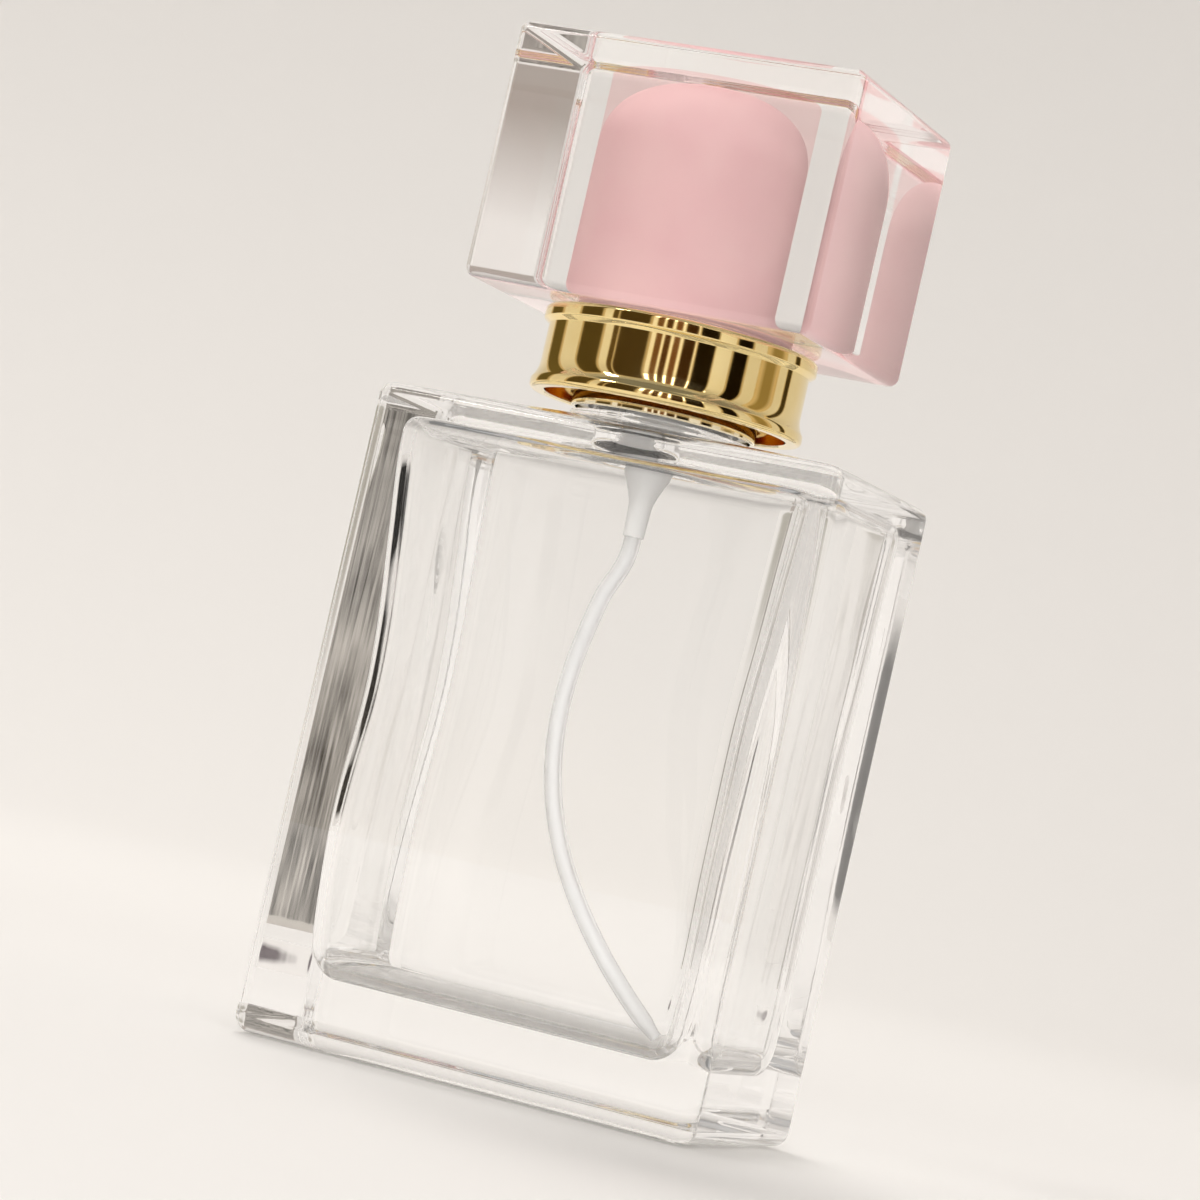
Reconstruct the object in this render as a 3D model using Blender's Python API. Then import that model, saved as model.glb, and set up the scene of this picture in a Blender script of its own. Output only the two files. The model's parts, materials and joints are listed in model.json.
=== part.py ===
"""Clear glass perfume bottle with a screw-on fine-mist pump, a gold collar and an acrylic overcap.

Units are metres, +Z is up and the origin is the centre of the base. The front, where the spray leaves the
button, faces -Y. Every size that can be set by itself is a constant below. The pieces that seat on, turn in
or slide through one another are sized from those constants and the two named gaps.
"""

import math

import bmesh
import bpy
from mathutils import Matrix, Vector

MM = 0.001

# Gaps between pieces
SEAT_GAP = 0.3 * MM  # between faces that rest on each other
FIT_GAP = 0.3 * MM  # around a piece that sits, turns or slides in a bore

# Glass bottle, outside
BODY_WIDTH = 48.0 * MM
BODY_DEPTH = 29.0 * MM
BODY_HEIGHT = 63.6 * MM  # base to the outer edge of the shoulder
EDGE_RADIUS = 1.8 * MM
HEEL_RADIUS = 1.6 * MM
SHOULDER_RADIUS = 1.2 * MM
SHOULDER_CROWN = 0.8 * MM  # rise of the shoulder from its edge to the neck
BEARING_LAND = 3.0 * MM  # flat rim that the bottle stands on
BASE_RECESS = 0.5 * MM

# Glass bottle, cavity
BASE_THICKNESS = 6.6 * MM
WALL_AT_FLOOR = 4.2 * MM
WALL_AT_ROOF = 2.4 * MM
ROOF_THICKNESS = 2.6 * MM
CAVITY_CORNER_RADIUS = 4.5 * MM
FLOOR_RADIUS = 3.0 * MM
ROOF_RADIUS = 1.5 * MM

# Neck
LAND_RISE = 1.6 * MM  # top of the neck's land above the shoulder edge
FINISH_DIAMETER = 14.4 * MM  # the threaded stretch, at mid thread
FINISH_HEIGHT = 9.8 * MM
NECK_ROOT_RADIUS = 0.6 * MM
RIM_RADIUS = 0.5 * MM
MOUTH_RADIUS = 1.0 * MM  # where the bore opens into the cavity
NECK_CLEARANCE = 0.6 * MM  # between the bore and the pump housing

# Screw ferrule and its shell
FERRULE_WALL = 0.9 * MM
FERRULE_WEB = 0.9 * MM
SHELL_WALL = 0.4 * MM
FERRULE_LIFT = 0.4 * MM  # shell's lower edge above the neck's land
FERRULE_INSET = 0.3 * MM  # ferrule's lower edge above the shell's

# Collar ring
COLLAR_DIAMETER = 27.0 * MM
COLLAR_HEIGHT = 8.2 * MM
COLLAR_LIP = 1.3 * MM  # height of the upper lip
COLLAR_CHAMFER = 0.4 * MM  # height over which the lip runs in to the waist
COLLAR_WAIST_DEPTH = 0.55 * MM
COLLAR_COVE = 1.8 * MM  # height over which the waist sweeps out to the foot
COLLAR_FOOT = 1.0 * MM  # height of the foot
COLLAR_WALL = 0.9 * MM
COLLAR_SLEEVE_WALL = 0.7 * MM
COLLAR_SLEEVE_HEIGHT = 6.2 * MM
COLLAR_EDGE_RADIUS = 0.5 * MM
SHELL_SHOW = 0.8 * MM  # stretch of the shell that shows below the ring

# Pump housing
HOUSING_DIAMETER = 7.6 * MM
HOUSING_WALL = 0.6 * MM  # around the gland, at the top
BARREL_WALL = 1.05 * MM
FLANGE_THICKNESS = 0.9 * MM
GASKET_THICKNESS = 0.8 * MM
GLAND_DEPTH = 2.1 * MM  # flange underside to the ledge that carries the stem seal
BARREL_DEPTH = 11.2 * MM  # flange underside to the barrel's floor
SPRING_WELL_DEPTH = 3.8 * MM  # barrel floor to the spring's seat
SPRING_WELL_WALL = 0.45 * MM
VALVE_LIP = 0.3 * MM
VALVE_CHAMBER_HEIGHT = 2.7 * MM
VALVE_WEB = 0.7 * MM
TAIL_SOCKET_DEPTH = 3.5 * MM
TAIL_WALL = 0.4 * MM
BALL_DIAMETER = 2.0 * MM
BALL_CLEARANCE = 0.35 * MM
INLET_DIAMETER = 1.2 * MM

# Stem guide, stem, piston and return spring
TURRET_FLANGE = 0.9 * MM
TURRET_FLANGE_DIAMETER = 12.4 * MM
TURRET_BARREL_DIAMETER = 9.2 * MM
TURRET_PLUG_DEPTH = 1.6 * MM  # reach into the housing below its rim
STEM_SEAL_THICKNESS = 0.8 * MM
STEM_DIAMETER = 3.2 * MM
STEM_BORE = 1.4 * MM
STEM_SOCKET_DEPTH = 3.0 * MM
STEM_COLLAR = 0.7 * MM
STEM_FOOT = 0.8 * MM
STEM_PORT = 0.8 * MM
PISTON_HEIGHT = 2.7 * MM
PISTON_LIP_DEPTH = 0.6 * MM
SPRING_WIRE = 0.4 * MM
SPRING_TURNS = 5.5
STROKE = 4.0 * MM

# Dip tube
TUBE_DIAMETER = 1.9 * MM
TUBE_BORE = 1.1 * MM
TUBE_BOW = 2.6 * MM  # sideways bulge of the bent tube
TUBE_CORNER_MARGIN = 2.6 * MM  # from the cavity's walls to the tube's lower end
TUBE_FLOOR_GAP = 1.6 * MM
TUBE_LEAD = 0.14  # part of the tube's fall over which it leaves the tail's line

# Spray button
BUTTON_DIAMETER = 12.8 * MM
BUTTON_HEIGHT = 8.2 * MM
BUTTON_SHELL_WALL = 0.4 * MM
BUTTON_EDGE_RADIUS = 0.8 * MM
BUTTON_DISH = 0.3 * MM
BUTTON_SKIRT_WALL = 1.0 * MM
BUTTON_SKIRT_DEPTH = 2.1 * MM
BUTTON_BOSS_WALL = 1.1 * MM
BUTTON_CHANNEL = 1.2 * MM
NOZZLE_DIAMETER = 3.3 * MM
NOZZLE_LENGTH = 2.5 * MM
NOZZLE_HEIGHT = 4.4 * MM  # spray axis above the button's lower edge
NOZZLE_ORIFICE = 0.5 * MM
NOZZLE_CHAMBER = 2.0 * MM
NOZZLE_FACE = 0.7 * MM

# Overcap
CAP_WIDTH = 35.6 * MM
CAP_DEPTH = 29.0 * MM
CAP_HEIGHT = 25.2 * MM
CAP_EDGE_RADIUS = 1.0 * MM
CAP_ROOF = 1.8 * MM  # acrylic above the bore
LINER_WALL = 1.2 * MM
LINER_EDGE_RADIUS = 0.5 * MM

# Facets
CORNER_STEPS = 6  # along a corner of a rounded rectangle
SIDE_STEPS = 4  # along each of its sides
EDGE_STEPS = 3  # across a rounded edge
COVE_STEPS = 5
TURN_STEPS = 40  # round a turned piece
SMALL_TURN_STEPS = 20  # round one that fits inside the pump or the button
TUBE_SIDES = 10
TUBE_RINGS = 24
POINTS_PER_CURL = 9
SHARP_ANGLE = math.radians(35)
MERGE = 1e-6
LEAST_CORNER = 0.2 * MM

# Radii worked out from the sizes above
NECK_BORE_RADIUS = HOUSING_DIAMETER / 2 + NECK_CLEARANCE
FERRULE_BORE_RADIUS = FINISH_DIAMETER / 2 + FIT_GAP
FERRULE_RADIUS = FERRULE_BORE_RADIUS + FERRULE_WALL
SHELL_RADIUS = FERRULE_RADIUS + FIT_GAP + SHELL_WALL
LAND_RADIUS = SHELL_RADIUS
FLANGE_RADIUS = FERRULE_BORE_RADIUS - FIT_GAP
GLAND_RADIUS = HOUSING_DIAMETER / 2 - HOUSING_WALL
BARREL_RADIUS = HOUSING_DIAMETER / 2 - BARREL_WALL
STEM_GUIDE_RADIUS = STEM_DIAMETER / 2 + FIT_GAP
PISTON_RADIUS = BARREL_RADIUS - FIT_GAP
SPRING_RADIUS = STEM_DIAMETER / 2 - SPRING_WIRE / 2
SPRING_WELL_RADIUS = SPRING_RADIUS + SPRING_WIRE / 2 + FIT_GAP
VALVE_RADIUS = BALL_DIAMETER / 2 + BALL_CLEARANCE
VALVE_LIP_RADIUS = 0.85 * BALL_DIAMETER / 2
TAIL_SOCKET_RADIUS = TUBE_DIAMETER / 2 + FIT_GAP
TAIL_RADIUS = TAIL_SOCKET_RADIUS + TAIL_WALL
LINER_BORE_RADIUS = SHELL_RADIUS + FIT_GAP
LINER_RADIUS = LINER_BORE_RADIUS + LINER_WALL
BUTTON_CORE_RADIUS = BUTTON_DIAMETER / 2 - BUTTON_SHELL_WALL - FIT_GAP

# Heights worked out from the sizes above, from the base up
CAVITY_ROOF = BODY_HEIGHT - ROOF_THICKNESS
LAND_TOP = BODY_HEIGHT + LAND_RISE
RIM = LAND_TOP + FINISH_HEIGHT
SHELL_BASE = LAND_TOP + FERRULE_LIFT
COLLAR_BASE = SHELL_BASE + SHELL_SHOW
CAP_BASE = COLLAR_BASE + COLLAR_HEIGHT + SEAT_GAP
GASKET_BASE = RIM + SEAT_GAP
FLANGE_BASE = GASKET_BASE + GASKET_THICKNESS + SEAT_GAP
FLANGE_TOP = FLANGE_BASE + FLANGE_THICKNESS
WEB_BASE = FLANGE_TOP + SEAT_GAP
WEB_TOP = WEB_BASE + FERRULE_WEB
TURRET_TOP = WEB_TOP + SEAT_GAP + TURRET_FLANGE
GLAND_LEDGE = FLANGE_BASE - GLAND_DEPTH
BARREL_FLOOR = FLANGE_BASE - BARREL_DEPTH
SPRING_SEAT = BARREL_FLOOR - SPRING_WELL_DEPTH
VALVE_TOP = SPRING_SEAT - VALVE_LIP
VALVE_FLOOR = VALVE_TOP - VALVE_CHAMBER_HEIGHT
TAIL_SOCKET_TOP = VALVE_FLOOR - VALVE_WEB
TAIL_END = TAIL_SOCKET_TOP - TAIL_SOCKET_DEPTH
STEM_COLLAR_TOP = GLAND_LEDGE
PISTON_TOP = STEM_COLLAR_TOP - STEM_COLLAR - SEAT_GAP
STEM_FOOT_TOP = PISTON_TOP - PISTON_HEIGHT - SEAT_GAP
STEM_END = STEM_FOOT_TOP - STEM_FOOT
BUTTON_BASE = TURRET_TOP + SEAT_GAP + STROKE
BUTTON_CORE_BASE = BUTTON_BASE + SEAT_GAP
STEM_TOP = BUTTON_CORE_BASE + STEM_SOCKET_DEPTH - SEAT_GAP
SPRAY_AXIS = BUTTON_BASE + NOZZLE_HEIGHT
CAP_TOP = CAP_BASE + CAP_HEIGHT
LINER_TOP = CAP_TOP - CAP_ROOF - SEAT_GAP


def material(name, colour, roughness, metallic=0.0, transmission=0.0):
    """A Principled material; transmission is for the clear pieces."""
    made = bpy.data.materials.new(name)
    made.use_nodes = True
    shader = made.node_tree.nodes["Principled BSDF"]
    shader.inputs["Base Color"].default_value = (*colour, 1.0)
    shader.inputs["Roughness"].default_value = roughness
    shader.inputs["Metallic"].default_value = metallic
    shader.inputs["Transmission Weight"].default_value = transmission
    made.diffuse_color = (*colour, 1.0)
    return made


def arc(centre, radius, start, end, steps=EDGE_STEPS):
    """Points (across, up) on an arc, from one angle in degrees to another."""
    angles = (math.radians(start + (end - start) * i / steps) for i in range(steps + 1))
    return [(centre[0] + radius * math.cos(a), centre[1] + radius * math.sin(a)) for a in angles]


def rounded_rectangle(width, depth, radius, height):
    """A level outline, anticlockwise from above, with its corners as arcs."""
    reach = Vector((width / 2 - radius, depth / 2 - radius))
    corners = []
    for quarter, signs in enumerate(((1, 1), (-1, 1), (-1, -1), (1, -1))):
        centre = (signs[0] * reach.x, signs[1] * reach.y)
        corners.append(arc(centre, radius, 90 * quarter, 90 * quarter + 90, CORNER_STEPS))
    points = []
    for corner, following in zip(corners, corners[1:] + corners[:1]):
        start, end = Vector(corner[-1]), Vector(following[0])
        points += [Vector(p) for p in corner]
        points += [start.lerp(end, i / SIDE_STEPS) for i in range(1, SIDE_STEPS)]
    return [Vector((p.x, p.y, height)) for p in points]


def circle(radius, height):
    """A level circle with as many points as a rounded rectangle, in the same order."""
    count = 4 * (CORNER_STEPS + SIDE_STEPS)
    first = math.pi / 4 - math.pi * CORNER_STEPS / count
    angles = (first + 2 * math.pi * i / count for i in range(count))
    return [Vector((radius * math.cos(a), radius * math.sin(a), height)) for a in angles]


def spread(inner, outer, share, height):
    """The outline that lies a share of the way from one outline to another."""
    between = [a.lerp(b, share) for a, b in zip(inner, outer)]
    return [Vector((p.x, p.y, height)) for p in between]


def piece(name, mesh, finish, parent):
    """An object for a mesh whose points are in the part's frame, with its origin on its parent's."""
    mesh.transform(Matrix.Translation(-parent.matrix_world.translation))
    mesh.shade_smooth()
    mesh.set_sharp_from_angle(angle=SHARP_ANGLE)
    mesh.materials.append(finish)
    made = bpy.data.objects.new(name, mesh)
    bpy.context.scene.collection.objects.link(made)
    made.parent = parent
    return made


def lofted(name, sections, finish, parent):
    """A solid through closed outlines of one length, in order, with a flat face at each end."""
    form = bmesh.new()
    loops = [[form.verts.new(p) for p in section] for section in sections]
    form.faces.new(reversed(loops[0]))
    for lower, upper in zip(loops, loops[1:]):
        for i in range(len(lower)):
            j = (i + 1) % len(lower)
            form.faces.new((lower[i], lower[j], upper[j], upper[i]))
    form.faces.new(loops[-1])
    mesh = bpy.data.meshes.new(name)
    form.to_mesh(mesh)
    form.free()
    made = piece(name, mesh, finish, parent)
    flats = made.modifiers.new("flats", "WEIGHTED_NORMAL")
    flats.keep_sharp = True
    return made


def turned(name, profile, finish, parent, steps=TURN_STEPS):
    """A solid of revolution about Z. A profile of (radius, height) that misses the axis is closed first."""
    form = bmesh.new()
    points = [form.verts.new((radius, 0, height)) for radius, height in profile]
    pairs = list(zip(points, points[1:]))
    if all(radius > MERGE for radius, _ in profile):
        pairs.append((points[-1], points[0]))
    edges = [form.edges.new(pair) for pair in pairs]
    bmesh.ops.spin(form, geom=points + edges, cent=(0, 0, 0), axis=(0, 0, 1), dvec=(0, 0, 0),
                   angle=2 * math.pi, steps=steps, use_merge=True)
    bmesh.ops.remove_doubles(form, verts=form.verts, dist=MERGE)
    bmesh.ops.recalc_face_normals(form, faces=form.faces)
    mesh = bpy.data.meshes.new(name)
    form.to_mesh(mesh)
    form.free()
    return piece(name, mesh, finish, parent)


def drill(target, diameter, start, end):
    """Cuts a round hole through a piece, from one point of the part's frame to another."""
    run = Vector(end) - Vector(start)
    form = bmesh.new()
    bmesh.ops.create_cone(form, cap_ends=True, segments=SMALL_TURN_STEPS, radius1=diameter / 2,
                          radius2=diameter / 2, depth=run.length)
    mesh = bpy.data.meshes.new(f"{target.name}_drill")
    form.to_mesh(mesh)
    form.free()
    turn = run.to_track_quat("Z", "Y").to_matrix().to_4x4()
    mesh.transform(Matrix.Translation(Vector(start) + run / 2) @ turn)
    cutter = piece(mesh.name, mesh, target.data.materials[0], target.parent)
    cutter.hide_render = True
    cutter.display_type = "WIRE"
    cut = target.modifiers.new("drill", "BOOLEAN")
    cut.operation = "DIFFERENCE"
    cut.solver = "EXACT"
    cut.object = cutter


def mount(name, height, parent=None):
    """An empty on the bottle's axis that carries the pieces of one moving group."""
    made = bpy.data.objects.new(name, None)
    bpy.context.scene.collection.objects.link(made)
    made.location.z = height - (parent.matrix_world.translation.z if parent else 0.0)
    made.parent = parent
    bpy.context.view_layer.update()
    return made


def wall_outline(inset, height):
    """The bottle's outside, drawn in by an inset."""
    corner = max(EDGE_RADIUS - inset, LEAST_CORNER)
    return rounded_rectangle(BODY_WIDTH - 2 * inset, BODY_DEPTH - 2 * inset, corner, height)


def cavity_outline(wall, inset, height):
    """The cavity's side inside a wall of a given thickness, drawn in by an inset."""
    away = 2 * (wall + inset)
    corner = max(CAVITY_CORNER_RADIUS - inset, LEAST_CORNER)
    return rounded_rectangle(BODY_WIDTH - away, BODY_DEPTH - away, corner, height)


def bottle_outside():
    """Outlines from the recess under the base, round the heel and up to the neck's rim."""
    stand = HEEL_RADIUS + BEARING_LAND
    sections = [wall_outline(stand + BASE_RECESS, BASE_RECESS), wall_outline(stand, 0.0)]
    for inset, height in arc((HEEL_RADIUS, HEEL_RADIUS), HEEL_RADIUS, 270, 180):
        sections.append(wall_outline(inset, height))
    edge = (SHOULDER_RADIUS, BODY_HEIGHT - SHOULDER_RADIUS)
    for inset, height in arc(edge, SHOULDER_RADIUS, 180, 90):
        sections.append(wall_outline(inset, height))
    shoulder_edge = sections[-1]
    crown_top = BODY_HEIGHT + SHOULDER_CROWN
    root = circle(LAND_RADIUS + NECK_ROOT_RADIUS, crown_top)
    for i in range(1, EDGE_STEPS):
        share = i / EDGE_STEPS
        rise = SHOULDER_CROWN * math.sin(share * math.pi / 2)
        sections.append(spread(shoulder_edge, root, share, BODY_HEIGHT + rise))
    fillet = (LAND_RADIUS + NECK_ROOT_RADIUS, crown_top + NECK_ROOT_RADIUS)
    turns = arc(fillet, NECK_ROOT_RADIUS, 270, 180)
    turns += [(LAND_RADIUS, LAND_TOP - LEAST_CORNER), (LAND_RADIUS - LEAST_CORNER, LAND_TOP)]
    turns += [(FINISH_DIAMETER / 2, LAND_TOP)]
    turns += arc((FINISH_DIAMETER / 2 - RIM_RADIUS, RIM - RIM_RADIUS), RIM_RADIUS, 0, 90)
    return sections + [circle(radius, height) for radius, height in turns]


def bottle_cavity():
    """Outlines from the neck's rim, down the bore and the walls to the cavity's floor."""
    mouth = CAVITY_ROOF + SHOULDER_CROWN
    turns = arc((NECK_BORE_RADIUS + RIM_RADIUS, RIM - RIM_RADIUS), RIM_RADIUS, 90, 180)
    turns += arc((NECK_BORE_RADIUS + MOUTH_RADIUS, mouth + MOUTH_RADIUS), MOUTH_RADIUS, 180, 270)
    sections = [circle(radius, height) for radius, height in turns]
    roof_edge = cavity_outline(WALL_AT_ROOF, ROOF_RADIUS, CAVITY_ROOF)
    opening = sections[-1]
    for i in range(1, EDGE_STEPS):
        share = i / EDGE_STEPS
        rise = SHOULDER_CROWN * math.cos(share * math.pi / 2)
        sections.append(spread(opening, roof_edge, share, CAVITY_ROOF + rise))
    corner = (ROOF_RADIUS, CAVITY_ROOF - ROOF_RADIUS)
    for inset, height in arc(corner, ROOF_RADIUS, 90, 180):
        sections.append(cavity_outline(WALL_AT_ROOF, inset, height))
    corner = (FLOOR_RADIUS, BASE_THICKNESS + FLOOR_RADIUS)
    for inset, height in arc(corner, FLOOR_RADIUS, 180, 270):
        sections.append(cavity_outline(WALL_AT_FLOOR, inset, height))
    return sections


def glass_bottle(finish, parent):
    """The bottle: one wall from the recess under its base, over the rim and down to the cavity's floor."""
    lofted("glass_bottle", bottle_outside() + bottle_cavity(), finish, parent)


def collar_group(gold, plastic, parent):
    """The pieces that turn together: screw ferrule, its metal shell and the collar ring."""
    ferrule_base = SHELL_BASE + FERRULE_INSET
    web_hole = TURRET_BARREL_DIAMETER / 2 + FIT_GAP
    turned("screw_ferrule", [
        (web_hole, WEB_TOP), (FERRULE_RADIUS, WEB_TOP), (FERRULE_RADIUS, ferrule_base),
        (FERRULE_BORE_RADIUS, ferrule_base), (FERRULE_BORE_RADIUS, WEB_BASE), (web_hole, WEB_BASE),
    ], plastic, parent)

    shell_top = WEB_TOP + SEAT_GAP + SHELL_WALL
    opening = TURRET_FLANGE_DIAMETER / 2 + FIT_GAP
    inner = SHELL_RADIUS - SHELL_WALL
    crown = arc((SHELL_RADIUS - SHELL_WALL, shell_top - SHELL_WALL), SHELL_WALL, 90, 0)
    turned("ferrule_shell", [
        (opening, shell_top), *crown, (SHELL_RADIUS, SHELL_BASE), (inner, SHELL_BASE),
        (inner, shell_top - SHELL_WALL), (opening, shell_top - SHELL_WALL),
    ], gold, parent)

    collar_ring(gold, parent)


def collar_ring(gold, parent):
    """A turned ring with a lip, a waist and a coved foot, hollow below, on a sleeve round the shell."""
    top = COLLAR_BASE + COLLAR_HEIGHT
    radius = COLLAR_DIAMETER / 2
    waist = radius - COLLAR_WAIST_DEPTH
    hollow = waist - COLLAR_WALL
    bore = SHELL_RADIUS + FIT_GAP
    sleeve = bore + COLLAR_SLEEVE_WALL
    web = top - COLLAR_WALL
    edge = radius - COLLAR_EDGE_RADIUS
    cove_top = COLLAR_BASE + COLLAR_FOOT + COLLAR_COVE
    turns = [math.radians(90 * i / COVE_STEPS) for i in range(COVE_STEPS + 1)]
    cove = [(radius - COLLAR_WAIST_DEPTH * math.cos(a), cove_top - COLLAR_COVE * math.sin(a)) for a in turns]
    turned("collar_ring", [
        (bore, top), *arc((edge, top - COLLAR_EDGE_RADIUS), COLLAR_EDGE_RADIUS, 90, 0),
        (radius, top - COLLAR_LIP), (waist, top - COLLAR_LIP - COLLAR_CHAMFER), *cove,
        *arc((edge, COLLAR_BASE + COLLAR_EDGE_RADIUS), COLLAR_EDGE_RADIUS, 0, -90),
        (hollow, COLLAR_BASE), (hollow, web), (sleeve, web),
        (sleeve, top - COLLAR_SLEEVE_HEIGHT), (bore, top - COLLAR_SLEEVE_HEIGHT),
    ], gold, parent)


def housing_profile():
    """The housing's wall, from the inside of its rim round the outside to the inside of its tail."""
    body = HOUSING_DIAMETER / 2
    well = SPRING_WELL_RADIUS + SPRING_WELL_WALL
    cone = body - well  # the outside narrows at 45 degrees
    body_end = BARREL_FLOOR - (BARREL_RADIUS - SPRING_WELL_RADIUS)
    outside = [
        (GLAND_RADIUS, FLANGE_TOP), (FLANGE_RADIUS, FLANGE_TOP), (FLANGE_RADIUS, FLANGE_BASE),
        (body, FLANGE_BASE), (body, body_end), (well, body_end - cone),
        (well, VALVE_TOP), (TAIL_RADIUS, TAIL_END), (TAIL_SOCKET_RADIUS, TAIL_END),
    ]
    inlet = INLET_DIAMETER / 2
    inside = [
        (TAIL_SOCKET_RADIUS, TAIL_SOCKET_TOP), (inlet, TAIL_SOCKET_TOP), (inlet, VALVE_FLOOR),
        (VALVE_RADIUS, VALVE_FLOOR), (VALVE_RADIUS, VALVE_TOP), (VALVE_LIP_RADIUS, VALVE_TOP),
        (VALVE_LIP_RADIUS, SPRING_SEAT), (SPRING_WELL_RADIUS, SPRING_SEAT),
        (SPRING_WELL_RADIUS, body_end), (BARREL_RADIUS, BARREL_FLOOR),
        (BARREL_RADIUS, GLAND_LEDGE), (GLAND_RADIUS, GLAND_LEDGE),
    ]
    return outside + inside


def pump_core(plastic, soft, steel, parent):
    """The pump's fixed pieces: neck gasket, housing, stem guide, stem seal, return spring and dip tube."""
    gasket_bore = HOUSING_DIAMETER / 2 + FIT_GAP
    gasket_edge = FINISH_DIAMETER / 2 - LEAST_CORNER
    gasket_top = GASKET_BASE + GASKET_THICKNESS
    turned("neck_gasket", [
        (gasket_bore, gasket_top), (gasket_edge, gasket_top),
        (gasket_edge, GASKET_BASE), (gasket_bore, GASKET_BASE),
    ], soft, parent)

    turned("pump_housing", housing_profile(), plastic, parent)

    plug = GLAND_RADIUS - FIT_GAP
    plug_end = FLANGE_TOP - TURRET_PLUG_DEPTH
    flange_base = TURRET_TOP - TURRET_FLANGE
    turned("stem_turret", [
        (STEM_GUIDE_RADIUS, TURRET_TOP), (TURRET_FLANGE_DIAMETER / 2, TURRET_TOP),
        (TURRET_FLANGE_DIAMETER / 2, flange_base), (TURRET_BARREL_DIAMETER / 2, flange_base),
        (TURRET_BARREL_DIAMETER / 2, WEB_BASE), (plug, WEB_BASE), (plug, plug_end),
        (STEM_GUIDE_RADIUS, plug_end),
    ], plastic, parent)

    seal_base = GLAND_LEDGE + SEAT_GAP
    seal_top = min(seal_base + STEM_SEAL_THICKNESS, plug_end - SEAT_GAP)
    turned("stem_seal", [
        (STEM_GUIDE_RADIUS, seal_top), (plug, seal_top), (plug, seal_base), (STEM_GUIDE_RADIUS, seal_base),
    ], soft, parent, SMALL_TURN_STEPS)

    main_spring(steel, parent)
    dip_tube(plastic, parent)


def main_spring(steel, parent):
    """The return spring: one wire wound from its seat in the housing to the stem's foot."""
    low = SPRING_SEAT + SEAT_GAP + SPRING_WIRE / 2
    high = STEM_END - SEAT_GAP - SPRING_WIRE / 2
    count = round(SPRING_TURNS * POINTS_PER_CURL)
    base = parent.matrix_world.translation.z
    points = []
    for i in range(count + 1):
        angle = 2 * math.pi * i / POINTS_PER_CURL
        height = low + (high - low) * i / count
        points.append(Vector((SPRING_RADIUS * math.cos(angle), SPRING_RADIUS * math.sin(angle), height)))
    apart = POINTS_PER_CURL // 2
    gap = min((a - b).length for i, a in enumerate(points) for b in points[i + apart:]) - SPRING_WIRE
    print(f"main_spring: least gap to itself {gap / MM:.2f} mm")

    curve = bpy.data.curves.new("main_spring", "CURVE")
    curve.dimensions = "3D"
    curve.bevel_depth = SPRING_WIRE / 2
    curve.bevel_resolution = 1
    curve.use_fill_caps = True
    spline = curve.splines.new("POLY")
    spline.points.add(count)
    for place, point in zip(spline.points, points):
        place.co = (point.x, point.y, point.z - base, 1.0)
    curve.materials.append(steel)
    made = bpy.data.objects.new("main_spring", curve)
    bpy.context.scene.collection.objects.link(made)
    made.parent = parent


def tube_route():
    """Points down the bent dip tube, from its socket in the tail to the front right corner of the floor."""
    top = Vector((0.0, 0.0, TAIL_SOCKET_TOP - SEAT_GAP))
    corner = TUBE_CORNER_MARGIN + WALL_AT_FLOOR
    reach_x = BODY_WIDTH / 2 - corner
    reach_y = -(BODY_DEPTH / 2 - corner)
    fall = TAIL_END - (BASE_THICKNESS + TUBE_FLOOR_GAP)
    route = [top]
    for i in range(TUBE_RINGS + 1):
        share = i / TUBE_RINGS
        lead = min(share / TUBE_LEAD, 1.0)
        ease = lead * lead * (3 - 2 * lead)
        x = reach_x * share**3 - TUBE_BOW * math.sin(math.pi * share)
        y = reach_y * math.sin(math.pi * share / 2)
        route.append(Vector((ease * x, ease * y, TAIL_END - fall * share)))
    return route


def dip_tube(plastic, parent):
    """The dip tube: an open tube swept along its route."""
    route = tube_route()
    form = bmesh.new()
    across = Vector((1.0, 0.0, 0.0))
    walls = {TUBE_DIAMETER: [], TUBE_BORE: []}
    for i, point in enumerate(route):
        along = (route[min(i + 1, len(route) - 1)] - route[max(i - 1, 0)]).normalized()
        across = (across - along * across.dot(along)).normalized()
        beside = along.cross(across)
        for diameter, rings in walls.items():
            angles = [2 * math.pi * k / TUBE_SIDES for k in range(TUBE_SIDES)]
            offsets = [across * math.cos(a) + beside * math.sin(a) for a in angles]
            rings.append([form.verts.new(point + offset * diameter / 2) for offset in offsets])
    outer, inner = walls.values()
    closed = outer + inner[::-1] + outer[:1]
    for first, second in zip(closed, closed[1:]):
        for k in range(TUBE_SIDES):
            j = (k + 1) % TUBE_SIDES
            form.faces.new((first[k], first[j], second[j], second[k]))
    bmesh.ops.recalc_face_normals(form, faces=form.faces)
    mesh = bpy.data.meshes.new("dip_tube")
    form.to_mesh(mesh)
    form.free()
    piece("dip_tube", mesh, plastic, parent)


def inlet_ball(steel, parent):
    """The check-valve ball, just above its seat in the housing."""
    radius = BALL_DIAMETER / 2
    reach = radius + SEAT_GAP
    centre = VALVE_FLOOR + math.sqrt(reach**2 - (INLET_DIAMETER / 2) ** 2)
    half_turn = arc((0.0, centre), radius, 90, -90, 3 * EDGE_STEPS)
    turned("inlet_ball", half_turn, steel, parent, SMALL_TURN_STEPS)


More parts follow.
